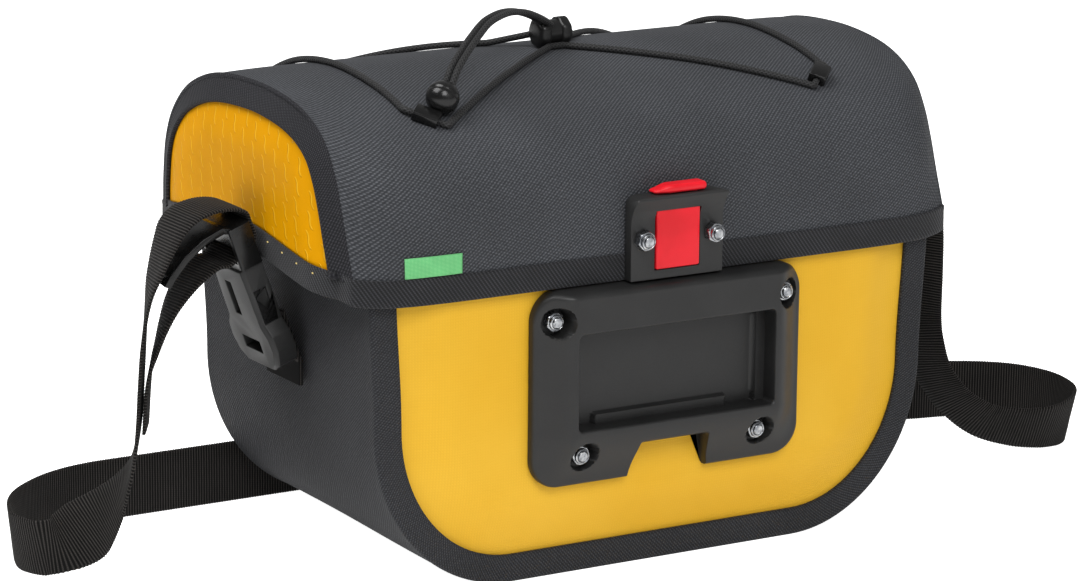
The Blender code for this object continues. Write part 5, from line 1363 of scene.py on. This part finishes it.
@dataclass
class Cords:
    """The elastic bow on the hood with its clips, cord lock, pull ball and loop."""

    lid: Lid
    radius: float = 1.3 * MM
    rest: float = 0.12 * MM
    lock: tuple[float, float, float] = (-3.5, 3.5, 195.49)
    ball: tuple[float, float, float] = (-83.59, -51.15, 186.2)
    ball_radius: float = 6.4 * MM
    pass_front: tuple[tuple[float, float, float], ...] = ((-7.0, -1.3, 190.7), (0.0, -1.3, 190.7))
    pass_rear: tuple[tuple[float, float, float], ...] = ((-7.0, 6.3, 195.09), (0.0, 6.3, 195.09))
    clip_runs: tuple[tuple[tuple[float, float, float], ...], ...] = (
        (
            (-98.08, -48.39, 182.4), (-96.24, -50.05, 181.6),
            (-87.76, -57.69, 177.91), (-85.92, -59.35, 177.14),
        ),
        (
            (-98.08, 62.23, 177.27), (-96.24, 63.72, 176.19),
            (-87.76, 70.61, 171.24), (-85.92, 72.1, 170.17),
        ),
        (
            (91.08, 62.23, 177.27), (89.24, 63.72, 176.2),
            (80.76, 70.61, 171.25), (78.92, 72.11, 170.17),
        ),
        (
            (91.08, -48.39, 182.43), (89.24, -50.05, 181.63),
            (80.76, -57.69, 177.95), (78.92, -59.35, 177.17),
        ),
    )
    strand: tuple[tuple[float, float, float], ...] = (
        (-83.59, -51.15, 186.2), (-81.18, -49.51, 188.51), (-78.54, -47.71, 191.22), (-74.86, -45.2, 195.69),
        (-67.57, -40.22, 200.83), (-60.2, -35.19, 205.01), (-52.03, -29.62, 208.57), (-41.38, -22.35, 209.74),
        (-32.09, -16.01, 208.9), (-22.0, -9.12, 206.25), (-11.59, -2.02, 201.93), (-3.5, 3.5, 197.29),
    )

    def run(self, start: np.ndarray, end: np.ndarray) -> np.ndarray:
        """A taut stretch over the hood.

        It starts as the straight line, lifted onto the hood where that is higher. Then x is shared out by the
        distance run in y and z, as on the shortest way over a drum, and the line is lifted again.

        Args:
            start: where the stretch starts.
            end: where it ends.

        Returns:
            Points between the two.
        """
        share = np.linspace(0, 1, 44)[:, None]
        line = start * (1 - share) + end * share
        straight = line[:, 2].copy()
        for _ in range(3):
            line[:, 2] = np.maximum(straight, self.lid.seat(line[:, 0], line[:, 1], self.radius + self.rest))
            run = along(line[:, 1:])
            line[:, 0] = start[0] + (end[0] - start[0]) * run / run[-1]
        line[:, 2] = np.maximum(straight, self.lid.seat(line[:, 0], line[:, 1], self.radius + self.rest))
        return line[1:-1]

    def bow(self) -> bpy.types.Object:
        """The closed elastic bow: lock, front left, far left, lock, far right, front right, lock."""
        left_front, left_far, right_far, right_front = (np.array(rows) * MM for rows in self.clip_runs)
        front, rear = np.array(self.pass_front) * MM, np.array(self.pass_rear) * MM
        stops = [front[:1], left_front[::-1], left_far, rear, right_far[::-1], right_front, front[1:]]
        path = []
        for near, far in zip(stops, stops[1:]):
            path += [near, self.run(near[-1], far[0])]
        path.append(stops[-1])
        line = np.concatenate(path)
        line = smooth_line(np.concatenate([line, line[:1]]), 1.1 * MM)[:-1]
        return settle(tube("elastic_bow", line, self.radius, 12, True), Braid(), Layout.CLOTH, "bungee_cord")

    def loop(self) -> bpy.types.Object:
        """The doubled pull cord: from the lock over its arch, round inside the ball and back."""
        middle = np.array(self.strand) * MM
        level = (middle[-1] - middle[0]) * [1, 1, 0]
        aside = unit(np.array([level[1], -level[0], 0.0])) * 1.5 * MM
        back = unit(middle[1] - middle[0]) * 1.5 * MM
        angle = np.linspace(math.pi / 2, -math.pi / 2, 9)[:, None]
        turn = middle[0] + aside * np.sin(angle) - back * np.cos(angle)
        line = np.concatenate([middle[:0:-1] + aside, turn, middle[1:] - aside])
        line = smooth_line(line, 1.1 * MM)
        return settle(tube("pull_loop", line, self.radius, 12, False), Braid(), Layout.CLOTH, "toggle_loop")

    def pull_ball(self) -> bpy.types.Object:
        """The ball: a sphere along the loop's direction, its cord end cut off flat inside a raised lip."""
        middle = np.array(self.strand) * MM
        polar = np.radians(np.concatenate([[179], np.linspace(170, 36, 30), [33, 30, 26]]))
        radius = self.ball_radius * np.sin(polar)
        height = self.ball_radius * np.cos(polar)
        profile = np.stack([radius, height], -1)
        band = np.degrees(polar)
        profile[(band < 96) & (band > 84), 0] *= 0.955
        profile[-3:] = np.array([(3.9, 5.15), (3.2, 5.3), (2.6, 4.6)]) * MM
        profile = np.concatenate([profile, np.array([(2.4, 2.5), (0.3, 2.4)]) * MM])
        frame = frame_along(middle[0], middle[1] - middle[0])
        piece = turned("pull_ball", profile, np.ones((len(profile), 40)), frame)
        return settle(piece, MouldedPlastic(use="ball", shade=0.007, gloss=0.16), Layout.SOLID, "cord_toggle")

    def cord_lock(self) -> bpy.types.Object:
        """The barrel lock along X: two collars and a waist, each collar with shallow finger lobes."""
        x = np.array([-7.4, -7.5, -7.2, -6.6, -5.9, -3.2, -2.7, -2.4]) * MM
        r = np.array([0.4, 3.4, 4.6, 5.5, 5.9, 5.9, 5.6, 4.9]) * MM
        x, r = np.append(x, -x[::-1]), np.append(r, r[::-1])
        angle = np.linspace(0, 2 * math.pi, 48, endpoint=False)[None]
        lobes = 1 + 0.035 * np.cos(7 * angle) * (r[:, None] > 5.0 * MM)
        frame = frame_along(np.array(self.lock) * MM, np.array([1.0, 0.0, 0.0]))
        piece = turned("barrel_lock", np.stack([r, x], -1), lobes, frame)
        piece.data.set_sharp_from_angle(angle=SHARP["moulding"])
        return settle(piece, MouldedPlastic(use="lock", shade=0.007, gloss=0.26), Layout.SOLID, "cord_lock")

    def build(self) -> None:
        """Makes the cords and everything on them."""
        self.bow()
        self.loop()
        self.pull_ball()
        self.cord_lock()
        softened("cord_hook", "hook_bead", 0.4 * MM, MouldedPlastic())
        plastic = MouldedPlastic(use="clip", shade=0.006, gloss=0.16)
        for number in range(1, 5):
            softened(f"cord_anchor_{number}", f"cord_clip_{number}", 0.35 * MM, plastic)


@dataclass
class Buckles:
    """The two side buckles: the socket on its cloth tab, and the clip half that holds the webbing."""

    edge: float = 0.55 * MM

    def build(self) -> None:
        """Makes both buckles."""
        sheen = MouldedPlastic(use="socket", shade=0.012, gloss=0.42)
        matt = MouldedPlastic(use="clip_half", shade=0.004, gloss=0.2)
        for word in ("left", "right"):
            softened(f"buckle_socket_{word}", f"socket_{word}", self.edge, sheen)
            softened(f"buckle_clip_{word}", f"clip_half_{word}", self.edge, matt)
            softened(f"buckle_anchor_{word}", f"web_tab_{word}", 0.3 * MM, RibbedWebbing())


# Webbing


@dataclass
class Strap:
    """The shoulder strap: one length of webbing through both buckles and round the floor."""

    width: float = 25 * MM
    thickness: float = 1.6 * MM
    wall_x: float = 123.56 * MM
    reach: float = 98 * MM
    buckle_y: float = -2.5 * MM
    rear_y: float = 77.5 * MM
    top_z: float = 138.79 * MM
    pitch: float = 1.15 * MM
    tail: tuple[tuple[float, ...], ...] = (
        # out, back, up, heading, lift
        (0.618, 0.00, 0.433, 60, 0), (0.608, 0.00, 0.533, 60, 0), (0.595, 0.00, 0.592, 61, 0),
        (0.571, 0.00, 0.644, 64, 0), (0.539, 0.00, 0.707, 68, 0), (0.497, 0.00, 0.769, 74, 0),
        (0.432, 0.00, 0.830, 82, 0), (0.358, 0.00, 0.872, 88, 0),
    )
    passage: tuple[tuple[float, float], ...] = (
        (153.81, 121.69), (150.43, 124.58), (144.9, 127.84), (143.43, 132.52), (145.33, 137.77),
        (147.63, 142.04),
    )
    left: tuple[tuple[float, ...], ...] = (
        (0.334, 0.00, 1.033, 90, 0), (0.430, 0.00, 1.019, 90, 0), (0.490, 0.00, 0.987, 88, 0),
        (0.528, 0.00, 0.938, 82, 0), (0.566, 0.00, 0.872, 75, 0), (0.600, 0.00, 0.797, 67, 0),
        (0.622, 0.00, 0.680, 61, 0), (0.635, 0.00, 0.560, 60, 0), (0.643, 0.00, 0.470, 60, 0),
        (0.660, 0.00, 0.380, 61, 4), (0.683, 0.02, 0.303, 62, 14), (0.723, 0.08, 0.224, 66, 38),
        (0.790, 0.156, 0.152, 68, 68), (0.882, 0.219, 0.101, 66, 98), (0.968, 0.262, 0.087, 60, 108),
        (1.012, 0.394, 0.087, 38, 104), (0.990, 0.531, 0.087, 10, 98), (0.922, 0.694, 0.087, 0, 93),
        (0.810, 0.831, 0.087, 0, 90), (0.667, 0.937, 0.087, 0, 90), (0.494, 0.994, 0.087, 0, 90),
        (0.270, 1.00, 0.087, 0, 90), (0.000, 1.00, 0.087, 0, 90), (-0.340, 1.00, 0.087, 0, 90),
    )
    right: tuple[tuple[float, ...], ...] = (
        (-0.340, 1.00, 0.087, 0, 90), (0.000, 1.00, 0.087, 0, 90), (0.269, 0.931, 0.087, 0, 90),
        (0.524, 0.806, 0.087, 0, 90), (0.698, 0.694, 0.087, 0, 90), (0.851, 0.612, 0.087, 0, 90),
        (1.031, 0.556, 0.087, 0, 90), (1.175, 0.445, 0.087, 0, 90), (1.271, 0.300, 0.087, 0, 90),
        (1.307, 0.105, 0.087, -5, 88), (1.285, -0.058, 0.087, -30, 85), (1.235, -0.180, 0.086, -55, 79),
        (1.150, -0.262, 0.082, -80, 70), (1.045, -0.278, 0.077, -92, 60), (0.920, -0.225, 0.084, -95, 52),
        (0.790, -0.138, 0.108, -95, 44), (0.678, -0.062, 0.173, -92, 34), (0.591, -0.012, 0.267, -85, 20),
        (0.545, 0.012, 0.361, -76, 8), (0.525, 0.031, 0.447, -68, 0), (0.522, 0.031, 0.577, -66, 0),
        (0.519, 0.031, 0.700, -66, 0), (0.504, 0.020, 0.808, -72, 0), (0.473, 0.006, 0.902, -80, 0),
        (0.422, 0.00, 0.974, -86, 0), (0.366, 0.00, 1.017, -90, 0), (0.320, 0.00, 1.034, -90, 0),
    )

    def stations(self, side: int, rows: tuple[tuple[float, ...], ...]) -> np.ndarray:
        """Places and width directions of a run.

        x is the buckle's wall plus out times the reach, y runs from the buckle to behind the bag by back, and
        z is up times the buckle's top, but never so low that the webbing would enter the floor. The width
        points along heading and lift.

        Args:
            side: -1 on the left and 1 on the right.
            rows: the run's table.

        Returns:
            Rows of x, y, z and the width's direction, shape (count, 6).
        """
        out, back, up, heading, lift = np.array(rows).T
        heading, lift = np.radians(heading), np.radians(lift)
        across = np.stack([np.cos(heading) * np.cos(lift), np.sin(heading) * np.cos(lift), np.sin(lift)], -1)
        lowest = self.width / 2 * np.abs(across[:, 2]) + self.thickness / 2 * np.abs(np.cos(lift))
        x = side * (self.wall_x + out * self.reach)
        y = self.buckle_y + back * (self.rear_y - self.buckle_y)
        return np.column_stack([x, y, np.maximum(up * self.top_z, lowest), across])

    def through(self, side: int) -> np.ndarray:
        """The way through a buckle, in by the slot and over its top bar, with the width along Y."""
        x, z = np.array(self.passage).T * MM
        flat = np.zeros_like(x)
        return np.column_stack([side * x, flat + self.buckle_y, z, flat, flat - side, flat])

    def build(self) -> bpy.types.Object:
        """The webbing: a rounded flat profile carried along the stations, its faces ribbed across.

        The thickness at a run s is t (0.9 + 0.1 sin(2 pi s / pitch)), and the edges swell in and out with
        the ribs.

        Returns:
            The strap.
        """
        tail, left = self.stations(-1, self.tail), self.stations(-1, self.left)
        right, last = self.stations(1, self.right), self.through(1)[::-1]
        line = smooth_line(np.concatenate([tail, self.through(-1), left, right, last]), self.pitch / 3)
        reached = along(line[:, :3])
        run = np.arange(0, reached[-1], self.pitch / 4)
        line = np.stack([np.interp(run, reached, column) for column in line.T], -1)
        place, across = line[:, :3], line[:, 3:]
        ahead = unit(np.gradient(place, axis=0))
        across = unit(across - (across * ahead).sum(-1, keepdims=True) * ahead)
        through = np.cross(ahead, across)
        rib = np.sin(2 * math.pi * run / self.pitch)[:, None]
        half, thick = self.width / 2, self.thickness / 2
        a = np.array([-1.0, -0.94, -0.5, 0.5, 0.94, 1.0, 0.94, 0.5, -0.5, -0.94])
        b = np.array([0.0, 0.85, 1.0, 1.0, 0.85, 0.0, -0.85, -1.0, -1.0, -0.85])
        wide = half * a[None] * (1 + 0.012 * rib)
        deep = thick * b[None] * (0.9 + 0.1 * rib)
        points = place[:, None] + wide[..., None] * across[:, None] + deep[..., None] * through[:, None]
        v = half * np.append(a, a[0]) + half
        uv = np.stack(np.meshgrid(run, v, indexing="ij"), -1)
        piece = surface("webbing_strap", points, uv, ring=True)
        return settle(piece, RibbedWebbing(), Layout.CLOTH, "shoulder_strap")


# Studio


@dataclass
class Studio:
    """The camera at the photograph's angle, soft light and a pale floor."""

    place: tuple[float, float, float] = (-0.8967, -1.4654, 0.5076)
    yaw: float = 31.2
    pitch: float = 13.62
    roll: float = 0.6
    lens: float = 148.33

    def camera(self) -> None:
        """The camera: it looks along its yaw and pitch, turned about that line by its roll."""
        yaw, pitch, roll = (math.radians(angle) for angle in (self.yaw, self.pitch, self.roll))
        back = Vector((-math.sin(yaw) * math.cos(pitch), -math.cos(yaw) * math.cos(pitch), math.sin(pitch)))
        side = Vector((0, 0, 1)).cross(back).normalized()
        up = back.cross(side)
        right = math.cos(roll) * side + math.sin(roll) * up
        top = math.cos(roll) * up - math.sin(roll) * side
        data = bpy.data.cameras.new("camera")
        data.lens, data.sensor_width = self.lens, 36.0
        data.clip_start, data.clip_end = 0.05, 40.0
        camera = bpy.data.objects.new("camera", data)
        frame = Matrix((right, top, back)).transposed().to_4x4()
        frame.translation = self.place
        camera.matrix_world = frame
        bpy.context.scene.collection.objects.link(camera)
        bpy.context.scene.camera = camera

    def lamp(self, name: str, place: tuple[float, float, float], size: float, power: float) -> None:
        """A square soft light that faces the bag.

        Args:
            name: the light's name.
            place: where it hangs.
            size: its side.
            power: its watts.
        """
        data = bpy.data.lights.new(name, "AREA")
        data.shape, data.size, data.energy = "SQUARE", size, power
        lamp = bpy.data.objects.new(name, data)
        aim = Vector((0, 0, 0.1)) - Vector(place)
        lamp.location = place
        lamp.rotation_euler = aim.to_track_quat("-Z", "Y").to_euler()
        bpy.context.scene.collection.objects.link(lamp)

    def floor(self) -> None:
        """A white floor that glows a little, as a lit studio sweep does."""
        half = 12.0
        corners = np.array([[(-half, -half, 0), (half, -half, 0)], [(-half, half, 0), (half, half, 0)]])
        piece = surface("studio_floor", corners, corners[..., :2], (0, 0, -1))
        paper = bpy.data.materials.new("studio_paper")
        paper.use_nodes = True
        shader = paper.node_tree.nodes["Principled BSDF"]
        shader.inputs["Base Color"].default_value = (0.9, 0.9, 0.9, 1)
        shader.inputs["Roughness"].default_value = 0.9
        shader.inputs["Specular IOR Level"].default_value = 0.0
        shader.inputs["Emission Color"].default_value = (1, 1, 1, 1)
        nodes = paper.node_tree.nodes
        seen, glow = nodes.new("ShaderNodeLightPath"), nodes.new("ShaderNodeMapRange")
        glow.inputs["To Min"].default_value, glow.inputs["To Max"].default_value = 0.30, 1.0
        paper.node_tree.links.new(seen.outputs["Is Camera Ray"], glow.inputs["Value"])
        paper.node_tree.links.new(glow.outputs["Result"], shader.inputs["Emission Strength"])
        piece.data.materials.append(paper)

    def sky(self) -> None:
        """A white sky whose strength falls off towards -X."""
        world = bpy.data.worlds.new("studio")
        world.use_nodes = True
        nodes, links = world.node_tree.nodes, world.node_tree.links
        sky = nodes["Background"]
        sky.inputs[0].default_value = (1, 1, 1, 1)
        facing, axes = nodes.new("ShaderNodeTexCoord"), nodes.new("ShaderNodeSeparateXYZ")
        fade = nodes.new("ShaderNodeMapRange")
        fade.inputs["From Min"].default_value, fade.inputs["From Max"].default_value = -0.9, 0.1
        fade.inputs["To Min"].default_value, fade.inputs["To Max"].default_value = 0.05, 0.29
        links.new(facing.outputs["Generated"], axes.inputs[0])
        links.new(axes.outputs["X"], fade.inputs["Value"])
        links.new(fade.outputs["Result"], sky.inputs[1])
        bpy.context.scene.world = world

    def build(self) -> None:
        """Sets up the camera, the lights, the sky and the floor."""
        self.camera()
        self.lamp("key_light", (-0.4, -1.6, 1.45), 1.0, 25.0)
        self.lamp("top_light", (-0.85, 0.1, 1.4), 1.0, 22.0)
        self.lamp("side_light", (0.6, -2.4, 1.0), 1.4, 3.0)
        self.sky()
        bpy.context.scene.view_settings.view_transform = "Standard"
        self.floor()


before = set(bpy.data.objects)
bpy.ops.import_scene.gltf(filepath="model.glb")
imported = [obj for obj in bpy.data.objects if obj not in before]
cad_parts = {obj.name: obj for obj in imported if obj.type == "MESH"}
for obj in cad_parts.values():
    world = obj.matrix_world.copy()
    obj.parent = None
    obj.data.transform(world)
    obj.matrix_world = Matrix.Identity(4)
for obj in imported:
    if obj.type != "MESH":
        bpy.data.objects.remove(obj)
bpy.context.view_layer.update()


def main() -> None:
    """Sets up the studio, then builds the bag's sub-assemblies in order."""
    logging.basicConfig(level=logging.INFO, format="%(name)s %(message)s")
    Studio().build()
    body = Body()
    body.gusset()
    body.panel("front_cloth", "front_panel", -1, 5.1 * MM)
    body.panel("rear_cloth", "rear_panel", 1, 3 * MM)
    lid = Lid()
    lid.hood()
    lid.end("end_cloth_left", "lid_end_left", -1)
    lid.end("end_cloth_right", "lid_end_right", 1)
    lid.tape()
    lid.stitches()
    lid.label()
    lid.hinge()
    plate = Plate()
    plate.build()
    Latch().build(plate)
    Cords(lid).build()
    Buckles().build()
    Strap().build()


if __name__ == "__main__":
    main()
